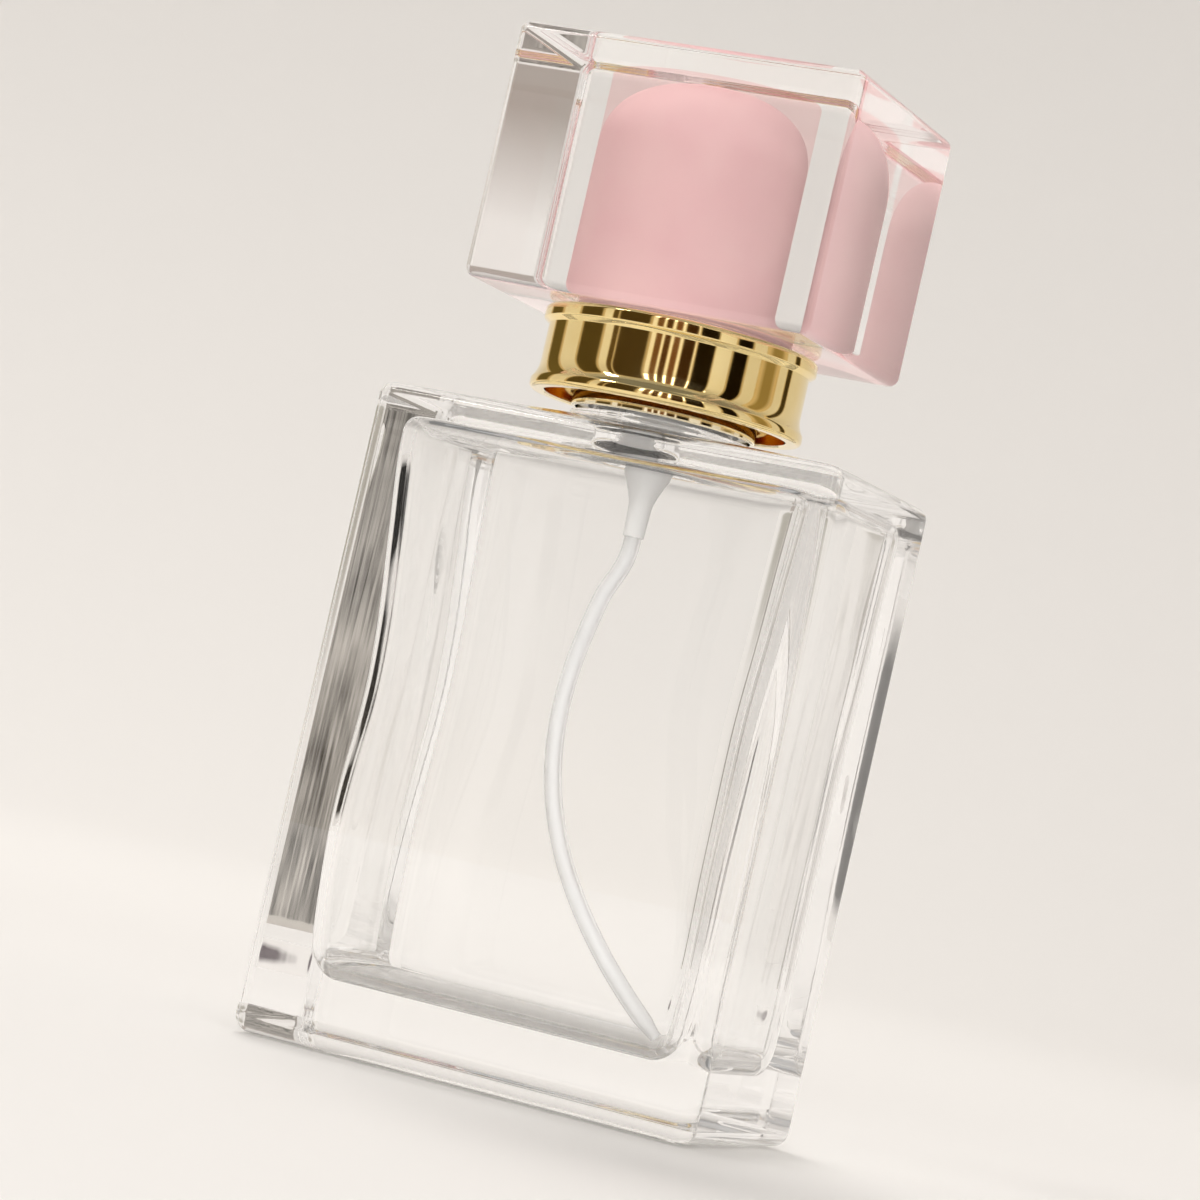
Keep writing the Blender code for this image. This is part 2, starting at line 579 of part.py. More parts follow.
def plunger_group(gold, plastic, parent):
    """The pieces that a finger pushes down: stem, piston, button core, its shell and the nozzle."""
    stem, bore, collar = STEM_DIAMETER / 2, STEM_BORE / 2, PISTON_RADIUS - FIT_GAP / 2
    made = turned("stem", [
        (bore, STEM_TOP), (stem, STEM_TOP), (stem, STEM_COLLAR_TOP), (collar, STEM_COLLAR_TOP),
        (collar, STEM_COLLAR_TOP - STEM_COLLAR), (stem, STEM_COLLAR_TOP - STEM_COLLAR),
        (stem, STEM_FOOT_TOP), (collar, STEM_FOOT_TOP), (stem, STEM_END), (bore, STEM_END),
    ], plastic, parent, SMALL_TURN_STEPS)
    port = PISTON_TOP - PISTON_HEIGHT / 2
    drill(made, STEM_PORT, (-PISTON_RADIUS, 0.0, port), (PISTON_RADIUS, 0.0, port))

    piston_base = PISTON_TOP - PISTON_HEIGHT
    piston_bore = stem + FIT_GAP
    lip = (PISTON_RADIUS + piston_bore) / 2
    turned("piston", [
        (piston_bore, PISTON_TOP), (lip, PISTON_TOP - PISTON_LIP_DEPTH), (PISTON_RADIUS, PISTON_TOP),
        (PISTON_RADIUS, piston_base), (lip, piston_base + PISTON_LIP_DEPTH), (piston_bore, piston_base),
    ], plastic, parent, SMALL_TURN_STEPS)

    button_core(plastic, parent)
    button_shell(gold, parent)
    nozzle_insert(plastic, parent)


def button_core(plastic, parent):
    """The button's moulded core: a cup round the stem's boss, with the spray channel and nozzle pocket."""
    top = BUTTON_BASE + BUTTON_HEIGHT - BUTTON_SHELL_WALL - BUTTON_DISH - SEAT_GAP
    skirt = BUTTON_CORE_RADIUS - BUTTON_SKIRT_WALL
    ceiling = BUTTON_CORE_BASE + BUTTON_SKIRT_DEPTH
    boss = STEM_GUIDE_RADIUS + BUTTON_BOSS_WALL
    socket_end = BUTTON_CORE_BASE + STEM_SOCKET_DEPTH
    core = turned("button_core", [
        (0.0, top), (BUTTON_CORE_RADIUS, top), (BUTTON_CORE_RADIUS, BUTTON_CORE_BASE),
        (skirt, BUTTON_CORE_BASE), (skirt, ceiling), (boss, ceiling), (boss, BUTTON_CORE_BASE),
        (STEM_GUIDE_RADIUS, BUTTON_CORE_BASE), (STEM_GUIDE_RADIUS, socket_end),
        (BUTTON_CHANNEL / 2, socket_end), (BUTTON_CHANNEL / 2, SPRAY_AXIS), (0.0, SPRAY_AXIS),
    ], plastic, parent)
    pocket_end = -BUTTON_CORE_RADIUS + NOZZLE_LENGTH + SEAT_GAP
    outside = -BUTTON_DIAMETER
    pocket = NOZZLE_DIAMETER + 2 * FIT_GAP
    drill(core, pocket, (0.0, outside, SPRAY_AXIS), (0.0, pocket_end, SPRAY_AXIS))
    channel = BUTTON_CHANNEL * 5 / 6  # narrower than the riser it meets
    drill(core, channel, (0.0, outside, SPRAY_AXIS), (0.0, 0.0, SPRAY_AXIS))


def button_shell(gold, parent):
    """The metal cover over the button, with a dished top and a hole for the nozzle."""
    top = BUTTON_BASE + BUTTON_HEIGHT
    radius = BUTTON_DIAMETER / 2
    inner = radius - BUTTON_SHELL_WALL
    edge = radius - BUTTON_EDGE_RADIUS
    ceiling = top - BUTTON_DISH - BUTTON_SHELL_WALL
    shell = turned("button_shell", [
        (0.0, top - BUTTON_DISH), (edge / 2, top - 0.75 * BUTTON_DISH),
        *arc((edge, top - BUTTON_EDGE_RADIUS), BUTTON_EDGE_RADIUS, 90, 0),
        (radius, BUTTON_BASE), (inner, BUTTON_BASE), (inner, ceiling), (0.0, ceiling),
    ], gold, parent)
    hole = NOZZLE_DIAMETER + 4 * FIT_GAP
    drill(shell, hole, (0.0, -BUTTON_DIAMETER, SPRAY_AXIS), (0.0, 0.0, SPRAY_AXIS))


def nozzle_insert(plastic, parent):
    """The spray insert: a small cup on the spray axis whose face holds the orifice."""
    face = -BUTTON_CORE_RADIUS
    outer, chamber, orifice = NOZZLE_DIAMETER / 2, NOZZLE_CHAMBER / 2, NOZZLE_ORIFICE / 2
    made = turned("nozzle_insert", [
        (orifice, 0.0), (outer, 0.0), (outer, -NOZZLE_LENGTH), (chamber, -NOZZLE_LENGTH),
        (chamber, -NOZZLE_FACE), (orifice, -NOZZLE_FACE),
    ], plastic, parent, SMALL_TURN_STEPS)
    forward = Matrix.Rotation(math.radians(90), 4, "X")
    mesh_origin = Matrix.Translation(parent.matrix_world.translation)
    made.data.transform(mesh_origin)
    made.data.transform(forward)
    made.location = (0.0, face, SPRAY_AXIS - parent.matrix_world.translation.z)


def cap_group(acrylic, pink, parent):
    """The overcap: a clear block with a blind bore, and the pink liner cup inside it."""
    bore = LINER_RADIUS + FIT_GAP
    bore_edge = LINER_EDGE_RADIUS + FIT_GAP
    bore_end = LINER_TOP + SEAT_GAP
    turns = arc((bore - bore_edge, bore_end - bore_edge), bore_edge, 90, 0)
    turns.append((bore, CAP_BASE))
    sections = [circle(radius, height) for radius, height in turns]
    low = arc((CAP_EDGE_RADIUS, CAP_BASE + CAP_EDGE_RADIUS), CAP_EDGE_RADIUS, 270, 180)
    high = arc((CAP_EDGE_RADIUS, CAP_TOP - CAP_EDGE_RADIUS), CAP_EDGE_RADIUS, 180, 90)
    for inset, height in low + high:
        corner = max(CAP_EDGE_RADIUS - inset, LEAST_CORNER)
        outline = rounded_rectangle(CAP_WIDTH - 2 * inset, CAP_DEPTH - 2 * inset, corner, height)
        sections.append(outline)
    lofted("cap_block", sections, acrylic, parent)

    roof = LINER_TOP - LINER_WALL
    outer_edge = (LINER_RADIUS - LINER_EDGE_RADIUS, LINER_TOP - LINER_EDGE_RADIUS)
    inner_radius = max(LINER_EDGE_RADIUS - LINER_WALL, LEAST_CORNER)
    inner_edge = (LINER_BORE_RADIUS - inner_radius, roof - inner_radius)
    turned("cap_liner", [
        (0.0, LINER_TOP), *arc(outer_edge, LINER_EDGE_RADIUS, 90, 0), (LINER_RADIUS, CAP_BASE),
        (LINER_BORE_RADIUS, CAP_BASE), *arc(inner_edge, inner_radius, 0, 90), (0.0, roof),
    ], pink, parent)


def main():
    """Clears the scene and builds the bottle, with one empty for each group that moves."""
    for old in list(bpy.data.objects):
        bpy.data.objects.remove(old, do_unlink=True)

    glass = material("clear_glass", (0.95, 0.96, 0.96), 0.02, transmission=1.0)
    acrylic = material("clear_acrylic", (0.97, 0.97, 0.97), 0.03, transmission=1.0)
    gold = material("gold_anodised", (0.86, 0.62, 0.22), 0.12, metallic=1.0)
    pink = material("pink_satin", (0.78, 0.46, 0.46), 0.4)
    natural = material("natural_plastic", (0.86, 0.86, 0.84), 0.35)
    soft = material("seal_white", (0.82, 0.82, 0.80), 0.6)
    steel = material("spring_steel", (0.6, 0.6, 0.62), 0.25, metallic=1.0)

    bottle = mount("bottle_base", 0.0)
    pump = mount("pump_mount", RIM, bottle)
    collar = mount("collar_mount", RIM, pump)
    plunger = mount("plunger_mount", TURRET_TOP, pump)
    valve = mount("valve_mount", VALVE_FLOOR, pump)
    cap = mount("cap_mount", CAP_BASE, collar)

    glass_bottle(glass, bottle)
    collar_group(gold, natural, collar)
    pump_core(natural, soft, steel, pump)
    inlet_ball(steel, valve)
    plunger_group(gold, natural, plunger)
    cap_group(acrylic, pink, cap)


main()
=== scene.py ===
"""Looks of a clear glass perfume bottle with a spray pump, a gold collar and a clear block overcap.

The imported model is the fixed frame: metres, +Z up, the spray nozzle towards -Y. Each sub-assembly is a class
that builds its visible pieces around that frame and dresses them in their finishes.
"""

from __future__ import annotations

import json
import logging
import math
from dataclasses import dataclass, replace
from enum import Enum
from typing import Any, Sequence

import bmesh
import bpy
from mathutils import Euler, Matrix, Vector

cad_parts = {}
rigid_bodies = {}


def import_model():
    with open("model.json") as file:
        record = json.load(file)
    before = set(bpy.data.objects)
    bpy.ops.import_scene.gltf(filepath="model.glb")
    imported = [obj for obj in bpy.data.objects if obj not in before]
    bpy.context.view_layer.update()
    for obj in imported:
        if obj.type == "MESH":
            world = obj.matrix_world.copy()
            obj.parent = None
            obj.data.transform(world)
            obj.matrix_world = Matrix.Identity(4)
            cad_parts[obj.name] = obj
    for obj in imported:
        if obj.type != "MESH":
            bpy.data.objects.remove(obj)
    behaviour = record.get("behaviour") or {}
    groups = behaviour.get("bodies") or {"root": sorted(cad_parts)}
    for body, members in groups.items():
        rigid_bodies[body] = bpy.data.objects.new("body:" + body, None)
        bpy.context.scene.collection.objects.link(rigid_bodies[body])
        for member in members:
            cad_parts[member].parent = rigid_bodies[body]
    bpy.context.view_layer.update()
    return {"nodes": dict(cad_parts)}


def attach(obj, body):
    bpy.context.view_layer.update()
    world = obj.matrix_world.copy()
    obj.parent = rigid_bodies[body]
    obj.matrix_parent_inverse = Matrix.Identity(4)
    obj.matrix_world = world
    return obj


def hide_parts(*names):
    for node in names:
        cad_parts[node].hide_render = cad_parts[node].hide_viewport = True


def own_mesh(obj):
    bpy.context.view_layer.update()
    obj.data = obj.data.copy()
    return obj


LOG = logging.getLogger("perfume_bottle")
MM = 0.001
TURN = 2 * math.pi
WELD = 1e-7

Colour = tuple[float, float, float]
Loop = list[Vector]
Profile = list[tuple[float, float]]
Course = tuple[tuple[float, float], ...]
Waves = tuple[tuple[float, float, float], ...]
Span = tuple[float, float]

PAPER: Colour = (0.85, 0.832, 0.812)
WARM: Colour = (0.6, 0.49, 0.33)
DAYLIGHT: Colour = (1.0, 0.97, 0.93)


class Body(Enum):
    """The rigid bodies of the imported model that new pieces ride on."""

    BOTTLE = "bottle"
    PUMP = "pump_core"
    COLLAR = "collar"
    CAP = "cap"
    PLUNGER = "plunger"


class Slot(Enum):
    """The record's material slots by name."""

    CLEAR_GLASS = "clear_glass"
    CLEAR_ACRYLIC = "clear_acrylic"
    GOLD = "gold"
    PINK = "pink_liner"
    NATURAL = "natural_plastic"
    STEEL = "spring_steel"


class Grain(Enum):
    """How a finish's fine relief runs over its piece."""

    EVEN = (1.0, 1.0, 1.0)
    TURNED = (0.04, 0.04, 1.0)
    DRAWN = (1.0, 1.0, 0.06)


class NodeBench:
    """Builds the node tree of one procedural material round its Principled shader."""

    NOISE_SPAN = (0.25, 0.75)
    TINT_STOPS = (0.3, 0.7)
    # Ramp stops for a painted paler colour at 0, a stand-in for softer bounced light.
    PAINTED_PALE_STOPS = (0.1, 0.0)
    FOOT_SPAN = (5.0 * MM, 16.0 * MM)

    def __init__(self, name: str) -> None:
        """Starts a material with an empty Principled shader.

        Args:
            name: the material's name.
        """
        self.material = bpy.data.materials.new(name)
        self.material.use_nodes = True
        self.tree = self.material.node_tree
        self.shader = self.tree.nodes["Principled BSDF"]
        self.output = self.tree.nodes["Material Output"]
        self.place = self.add("TexCoord").outputs["Object"]

    @staticmethod
    def fill(node: Any, values: dict[str, Any]) -> None:
        """Sets constant values on a node's own sockets, with _ for a space in a socket's name."""
        for name, value in values.items():
            node.inputs[name.replace("_", " ")].default_value = value

    def set(self, **values: Any) -> None:
        """Sets constant values on the shader's own sockets."""
        self.fill(self.shader, values)

    def add(self, kind: str, **values: Any) -> Any:
        """Adds a node.

        Args:
            kind: the last part of its type's name.
            values: constant values for its sockets.

        Returns:
            The node.
        """
        node = self.tree.nodes.new(f"ShaderNode{kind}")
        self.fill(node, values)
        return node

    def link(self, source: Any, target: Any) -> None:
        """Joins an output socket to an input socket."""
        self.tree.links.new(source, target)

    def noise(self, size: float, detail: float = 2.0, grain: Grain = Grain.EVEN) -> Any:
        """Adds a noise field fixed to the piece.

        Args:
            size: the width of its features, in metres.
            detail: how many finer octaves it holds.
            grain: the direction that its features are stretched in.

        Returns:
            The socket that gives the noise, about 0 to 1.
        """
        mapping = self.add("Mapping", Scale=[part / size for part in grain.value])
        noise = self.add("TexNoise", Scale=1.0, Detail=detail)
        self.link(self.place, mapping.inputs["Vector"])
        self.link(mapping.outputs["Vector"], noise.inputs["Vector"])
        return noise.outputs["Fac"]

    def ranged(self, source: Any, before: Span, after: Span = (0.0, 1.0)) -> Any:
        """Maps a socket from one range of values onto another, level beyond both ends.

        Args:
            source: the socket to read.
            before: the values that it has at the range's ends.
            after: the values that they become.

        Returns:
            The socket that gives the mapped value.
        """
        values = dict(zip(("From_Min", "From_Max", "To_Min", "To_Max"), (*before, *after)))
        node = self.add("MapRange", **values)
        self.link(source, node.inputs["Value"])
        return node.outputs["Result"]

    def roughen(self, source: Any, span: Span) -> None:
        """Drives the roughness between two values by a noise socket."""
        self.link(self.ranged(source, self.NOISE_SPAN, span), self.shader.inputs["Roughness"])

    def ramp(self, source: Any, stops: Sequence[tuple[float, Colour]]) -> Any:
        """Maps a socket onto colours.

        Args:
            source: the socket to read.
            stops: at least two values and the colours that they give.

        Returns:
            The socket that gives the colour.
        """
        node = self.add("ValToRGB")
        elements = node.color_ramp.elements
        for number, (value, colour) in enumerate(stops):
            element = elements[number] if number < 2 else elements.new(value)
            element.position = value
            element.color = (*colour, 1.0)
        self.link(source, node.inputs["Fac"])
        return node.outputs["Color"]

    def tint(self, source: Any, low: Colour, high: Colour, painted_pale: Colour | None = None) -> None:
        """Drives the base colour between two colours.

        Args:
            source: the socket that chooses between them.
            low: the colour where it is low.
            high: the colour where it is high.
            painted_pale: the colour where it is 0, if that differs, a painted paler tone that stands in for
                light.
        """
        stops = list(zip(self.TINT_STOPS, (low, high)))
        # A colour at 0 is a painted paler tone, not the piece's own colour.
        if painted_pale:
            stops += zip(self.PAINTED_PALE_STOPS, (low, painted_pale))
        self.link(self.ramp(source, stops), self.shader.inputs["Base Color"])

    def relief(self, source: Any, height: float) -> None:
        """Raises the surface by a socket.

        Args:
            source: the socket that gives the height, about 0 to 1.
            height: the relief's full height, in metres.
        """
        bump = self.add("Bump", Distance=height, Strength=1.0)
        self.link(source, bump.inputs["Height"])
        self.link(bump.outputs["Normal"], self.shader.inputs["Normal"])

    def parts(self, vector: Any) -> Any:
        """Splits a vector socket.

        Args:
            vector: the socket to split.

        Returns:
            The sockets X, Y and Z, by name.
        """
        node = self.add("SeparateXYZ")
        self.link(vector, node.inputs["Vector"])
        return node.outputs

    def upright(self, source: Any) -> Any:
        """Returns a socket that fades another out on level faces."""
        rise = self.parts(self.add("NewGeometry").outputs["True Normal"])["Z"]
        return self.math("MULTIPLY", source, self.math("SUBTRACT", 1.0, self.math("MULTIPLY", rise, rise)))

    def rise(self, low: float, high: float, axis: str = "Z") -> Any:
        """Returns a socket that grows from 0 to 1 between two places along an axis of the piece."""
        return self.ranged(self.parts(self.place)[axis], (low, high))

    def beyond(self, source: Any, radius: float) -> Any:
        """Drops a socket to 0 near the axis.

        Args:
            source: the socket to read.
            radius: the radius inside which it is 0.

        Returns:
            The socket that gives the value.
        """
        parts = self.parts(self.place)
        squares = [self.math("MULTIPLY", parts[axis], parts[axis]) for axis in "XY"]
        outside = self.math("GREATER_THAN", self.math("ADD", *squares), radius * radius)
        return self.math("MULTIPLY", source, outside)

    def math(self, operation: str, first: Any, second: Any) -> Any:
        """Joins two values, each a socket or a number, by an operation.

        Args:
            operation: the operation's name.
            first: the first value.
            second: the second value.

        Returns:
            The socket that gives the result.
        """
        node = self.add("Math")
        node.operation = operation
        for socket, value in zip(node.inputs, (first, second)):
            if isinstance(value, float):
                socket.default_value = value
            else:
                self.link(value, socket)
        return node.outputs["Value"]

    def pass_lamps(self, colour: Colour, foot: Colour | None = None) -> None:
        """Lets lamps shine through a clear piece on to what it holds.

        Args:
            colour: the share of red, green and blue that passes each face.
            foot: the share that passes at a thick foot, if it has one.
        """
        open_face = self.add("BsdfTransparent", Color=(*colour, 1.0))
        if foot:
            shares = self.ramp(self.rise(*self.FOOT_SPAN), ((0.0, foot), (1.0, colour)))
            self.link(shares, open_face.inputs["Color"])
        mix = self.add("MixShader")
        self.link(self.add("LightPath").outputs["Is Shadow Ray"], mix.inputs["Fac"])
        self.link(self.shader.outputs["BSDF"], mix.inputs[1])
        self.link(open_face.outputs["BSDF"], mix.inputs[2])
        self.link(mix.outputs["Shader"], self.output.inputs["Surface"])


@dataclass(frozen=True)
class ClearFinish:
    """A clear solid: glass or acrylic, with a faint wave in its polished faces."""

    name: str
    colour: Colour
    index: float
    haze: Span
    wave_size: float
    wave_height: float
    shadow: Colour
    foot: Colour | None = None
    smear_size: float = 6.0 * MM

    def material(self) -> bpy.types.Material:
        """Makes the finish's material.

        Returns:
            The material, whose relief keeps to upright faces.
        """
        bench = NodeBench(self.name)
        bench.set(Base_Color=(*self.colour, 1.0), IOR=self.index, Transmission_Weight=1.0)
        bench.roughen(bench.noise(self.smear_size, detail=3.0), self.haze)
        waves = bench.noise(self.wave_size, 1.0, Grain.DRAWN)
        bench.relief(bench.upright(waves), self.wave_height)
        bench.pass_lamps(self.shadow, self.foot)
        return bench.material


@dataclass(frozen=True)
class MetalFinish:
    """A metal skin whose gloss varies with handling and whose relief follows how it was made, painted paler
    inside a radius where light bouncing between gold faces would redden it.
    """

    name: str
    low: Colour
    high: Colour
    gloss: Span
    grain: Grain
    grain_size: float
    grain_height: float
    # Inside this radius the colour is painted paler. This offsets the red that light bouncing between gold
    # faces gives.
    painted_pale_radius: float = 0.0
    painted_pale: Colour | None = None
    cloud_size: float = 4.0 * MM

    def material(self) -> bpy.types.Material:
        """Makes the finish's material.

        Returns:
            The material, painted paler inside a radius to offset the red of light bouncing between gold faces.
        """
        bench = NodeBench(self.name)
        bench.set(Metallic=1.0)
        clouds = bench.noise(self.cloud_size, detail=3.0)
        bench.tint(bench.beyond(clouds, self.painted_pale_radius), self.low, self.high, self.painted_pale)
        bench.roughen(clouds, self.gloss)
        bench.relief(bench.noise(self.grain_size, 2.0, self.grain), self.grain_height)
        return bench.material


@dataclass(frozen=True)
class MouldedFinish:
    """A moulded plastic or rubber, opaque or letting some light through."""

    name: str
    low: Colour
    high: Colour
    gloss: Span
    grain_size: float
    grain_height: float
    clearness: float = 0.0
    index: float = 1.5
    shadow: Colour | None = None
    cloud_size: float = 5.0 * MM

    def material(self) -> bpy.types.Material:
        """Makes the finish's material.

        Returns:
            The material, which lets lamps through if it has a shadow's colour.
        """
        bench = NodeBench(self.name)
        bench.set(IOR=self.index, Transmission_Weight=self.clearness)
        clouds = bench.noise(self.cloud_size, detail=3.0)
        bench.tint(clouds, self.low, self.high)
        bench.roughen(clouds, self.gloss)
        bench.relief(bench.noise(self.grain_size), self.grain_height)
        if self.shadow:
            bench.pass_lamps(self.shadow)
        return bench.material


Finish = ClearFinish | MetalFinish | MouldedFinish


@dataclass(frozen=True)
class Finishes:
    """The finishes of the whole bottle, each made once."""

    glass: ClearFinish = ClearFinish(
        "glass_fire_polished", (0.996, 0.997, 0.997), index=1.5, haze=(0.0, 0.008),
        wave_size=3.5 * MM, wave_height=0.006 * MM, shadow=(0.9, 0.9, 0.9), foot=(0.36, 0.35, 0.33),
    )
    acrylic: ClearFinish = ClearFinish(
        "acrylic_polished", (0.996, 0.994, 0.994), index=1.49, haze=(0.0, 0.008),
        wave_size=9.0 * MM, wave_height=0.003 * MM, shadow=(0.96, 0.955, 0.955),
    )
    gold: MetalFinish = MetalFinish(
        "gold_polished", (0.92, 0.72, 0.33), (0.95, 0.77, 0.39), gloss=(0.03, 0.08),
        grain=Grain.TURNED, grain_size=0.25 * MM, grain_height=0.0006 * MM,
    )
    # Gold painted paler inside 12.1 mm: the ring's groove, bore and inner top, and the whole skin. This
    # offsets the red of light bouncing between gold faces.
    painted_pale_gold: MetalFinish = replace(gold, name="gold_with_painted_pale_inside", painted_pale_radius=12.1 * MM, painted_pale=(0.93, 0.83, 0.6))
    steel: MetalFinish = MetalFinish(
        "steel_drawn", (0.55, 0.55, 0.57), (0.65, 0.65, 0.67), gloss=(0.2, 0.35),
        grain=Grain.DRAWN, grain_size=0.15 * MM, grain_height=0.002 * MM,
    )
    pink: MouldedFinish = MouldedFinish(
        "pink_satin", (0.84, 0.665, 0.67), (0.87, 0.705, 0.7), gloss=(0.38, 0.5),
        grain_size=0.3 * MM, grain_height=0.004 * MM, index=1.3,
    )
    jacket: MouldedFinish = MouldedFinish(
        "pink_jacket", (0.965, 0.76, 0.765), (0.975, 0.79, 0.79), gloss=(0.0, 0.004),
        grain_size=0.8 * MM, grain_height=0.0, clearness=1.0, index=1.0, shadow=(0.99, 0.905, 0.905),
    )
    natural: MouldedFinish = MouldedFinish(
        "natural_moulding", (0.975, 0.965, 0.95), (0.99, 0.98, 0.97), gloss=(0.12, 0.2),
        grain_size=0.8 * MM, grain_height=0.004 * MM, clearness=0.15, shadow=(0.9, 0.89, 0.87),
    )
    tube: MouldedFinish = MouldedFinish(
        "tube_extruded", (0.97, 0.97, 0.97), (0.995, 0.995, 0.995), gloss=(0.06, 0.14),
        grain_size=0.8 * MM, grain_height=0.003 * MM, clearness=0.7, index=1.25, shadow=(0.97, 0.97, 0.97),
    )
    seal: MouldedFinish = MouldedFinish(
        "seal_rubber", (0.76, 0.76, 0.74), (0.84, 0.84, 0.82), gloss=(0.55, 0.7),
        grain_size=0.2 * MM, grain_height=0.01 * MM,
    )


class Wardrobe:
    """Makes each finish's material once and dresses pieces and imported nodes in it."""

    def __init__(self, nodes: dict[str, bpy.types.Object]) -> None:
        """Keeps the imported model's objects by node name."""
        self.nodes = nodes
        self.made: dict[str, bpy.types.Material] = {}

    def material(self, finish: Finish) -> bpy.types.Material:
        """Finds a finish's material, and makes it on its first use.

        Args:
            finish: the finish.

        Returns:
            Its material.
        """
        if finish.name not in self.made:
            self.made[finish.name] = finish.material()
        return self.made[finish.name]

    def dress(self, node: str, finish: Finish) -> None:
        """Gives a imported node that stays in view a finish.

        Args:
            node: the node's name.
            finish: the finish that its surface gets.
        """
        mesh = self.nodes[node].data
        mesh.materials.clear()
        mesh.materials.append(self.material(finish))
        LOG.info("%s keeps its packed shape in %s", node, finish.name)

    def fit(self, piece: bpy.types.Object, node: str, finish: Finish, body: Body) -> None:
        """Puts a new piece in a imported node's place.

        Args:
            piece: the piece, already where the node is.
            node: the node that it stands for.
            finish: the finish that its surface gets.
            body: the body that it moves with.
        """
        piece.data.materials.append(self.material(finish))
        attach(piece, body.value)
        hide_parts(node)
        LOG.info("%s: %d faces in %s", piece.name, len(piece.data.polygons), finish.name)


def arc(centre: tuple[float, float], radius: float, start: float, end: float, steps: int) -> Profile:
    """Returns points (across, up) on an arc between two angles in degrees, both ends included."""
    angles = [math.radians(start + (end - start) * i / steps) for i in range(steps + 1)]
    return [(centre[0] + radius * math.cos(a), centre[1] + radius * math.sin(a)) for a in angles]


def bow(t: float) -> float:
    """Returns a smooth step from 0 to 1 as t goes from 0 to 1."""
    t = min(max(t, 0.0), 1.0)
    return t * t * (3 - 2 * t)


def along(course: Course, place: float) -> float:
    """Reads a smooth curve through given points.

    Args:
        course: the points (place, value), with rising places.
        place: where it is read.

    Returns:
        The value there, level beyond both ends.
    """
    place = min(max(place, course[0][0]), course[-1][0])
    last = len(course) - 1
    index = max(i for i in range(last) if course[i][0] <= place)
    ends = [max(index - 1, 0), index, index + 1, min(index + 2, last)]
    (a, va), (b, vb), (c, vc), (d, vd) = (course[i] for i in ends)
    t, run = (place - b) / (c - b), c - b
    start, end = (vc - va) / (c - a) * run, (vd - vb) / (d - b) * run
    bend = (1 + 2 * t) * (1 - t) ** 2 * vb + t * t * (3 - 2 * t) * vc
    return bend + t * (1 - t) ** 2 * start + t * t * (t - 1) * end


@dataclass(frozen=True)
class Outliner:
    """Draws level outlines that all have the same number of points, so that they can be lofted."""

    corner_steps: int = 10
    side_steps: int = 28

    @property
    def count(self) -> int:
        """How many points an outline has."""
        return 4 * (self.corner_steps + self.side_steps)

    def box(self, low: Vector, high: Vector, front: float, back: float, height: float) -> Loop:
        """Draws a rectangle with round corners, anticlockwise from above.

        Args:
            low: its lowest corner in plan.
            high: its highest corner in plan.
            front: its front corners' radius.
            back: its back corners' radius.
            height: how high it lies.

        Returns:
            Its points.
        """
        centres = [
            (high.x - back, high.y - back),
            (low.x + back, high.y - back),
            (low.x + front, low.y + front),
            (high.x - front, low.y + front),
        ]
        turns = zip(centres, (back, back, front, front))
        corners = [arc(c, r, 90 * q, 90 * q + 90, self.corner_steps) for q, (c, r) in enumerate(turns)]
        points: list[Vector] = []
        for corner, following in zip(corners, corners[1:] + corners[:1]):
            start, end = Vector(corner[-1]), Vector(following[0])
            points += [Vector(p) for p in corner]
            points += [start.lerp(end, i / self.side_steps) for i in range(1, self.side_steps)]
        return [Vector((p.x, p.y, height)) for p in points]

    def slabs(self, width: float, depth: float, edge: float, least: float, turns: Profile) -> list[Loop]:
        """Draws rectangles round the axis, each drawn in by an inset.

        Args:
            width: their full size along X.
            depth: their full size along Y.
            edge: their full corner radius.
            least: the least corner radius that an inset leaves.
            turns: their insets and heights.

        Returns:
            The outlines in order.
        """
        loops = []
        for inset, height in turns:
            half = Vector((width / 2 - inset, depth / 2 - inset))
            radius = max(edge - inset, least)
            loops.append(self.box(-half, half, radius, radius, height))
        return loops

    def angles(self) -> list[float]:
        """Returns the angles of a circle's points, in step with a rectangle's."""
        first = TURN / 8 - TURN / 2 * self.corner_steps / self.count
        return [first + TURN * i / self.count for i in range(self.count)]

    def circle(self, radius: float, height: float) -> Loop:
        """Returns a circle round the axis."""
        return [Vector((radius * math.cos(a), radius * math.sin(a), height)) for a in self.angles()]

    def circles(self, turns: Profile) -> list[Loop]:
        """Returns circles through points (radius, height)."""
        return [self.circle(radius, height) for radius, height in turns]

    @staticmethod
    def between(inner: Loop, outer: Loop, steps: int, start: float, end: float) -> list[Loop]:
        """Draws outlines in even steps on the way from an inner one to an outer one, both left out.

        Args:
            inner: the outline before the first.
            outer: the outline after the last.
            steps: how many steps the way has.
            start: the height before the first.
            end: the height after the last.

        Returns:
            The outlines in order.
        """
        loops = []
        for share in (i / steps for i in range(1, steps)):
            mixed = [a.lerp(b, share) for a, b in zip(inner, outer)]
            loops.append([Vector((p.x, p.y, start + (end - start) * share)) for p in mixed])
        return loops


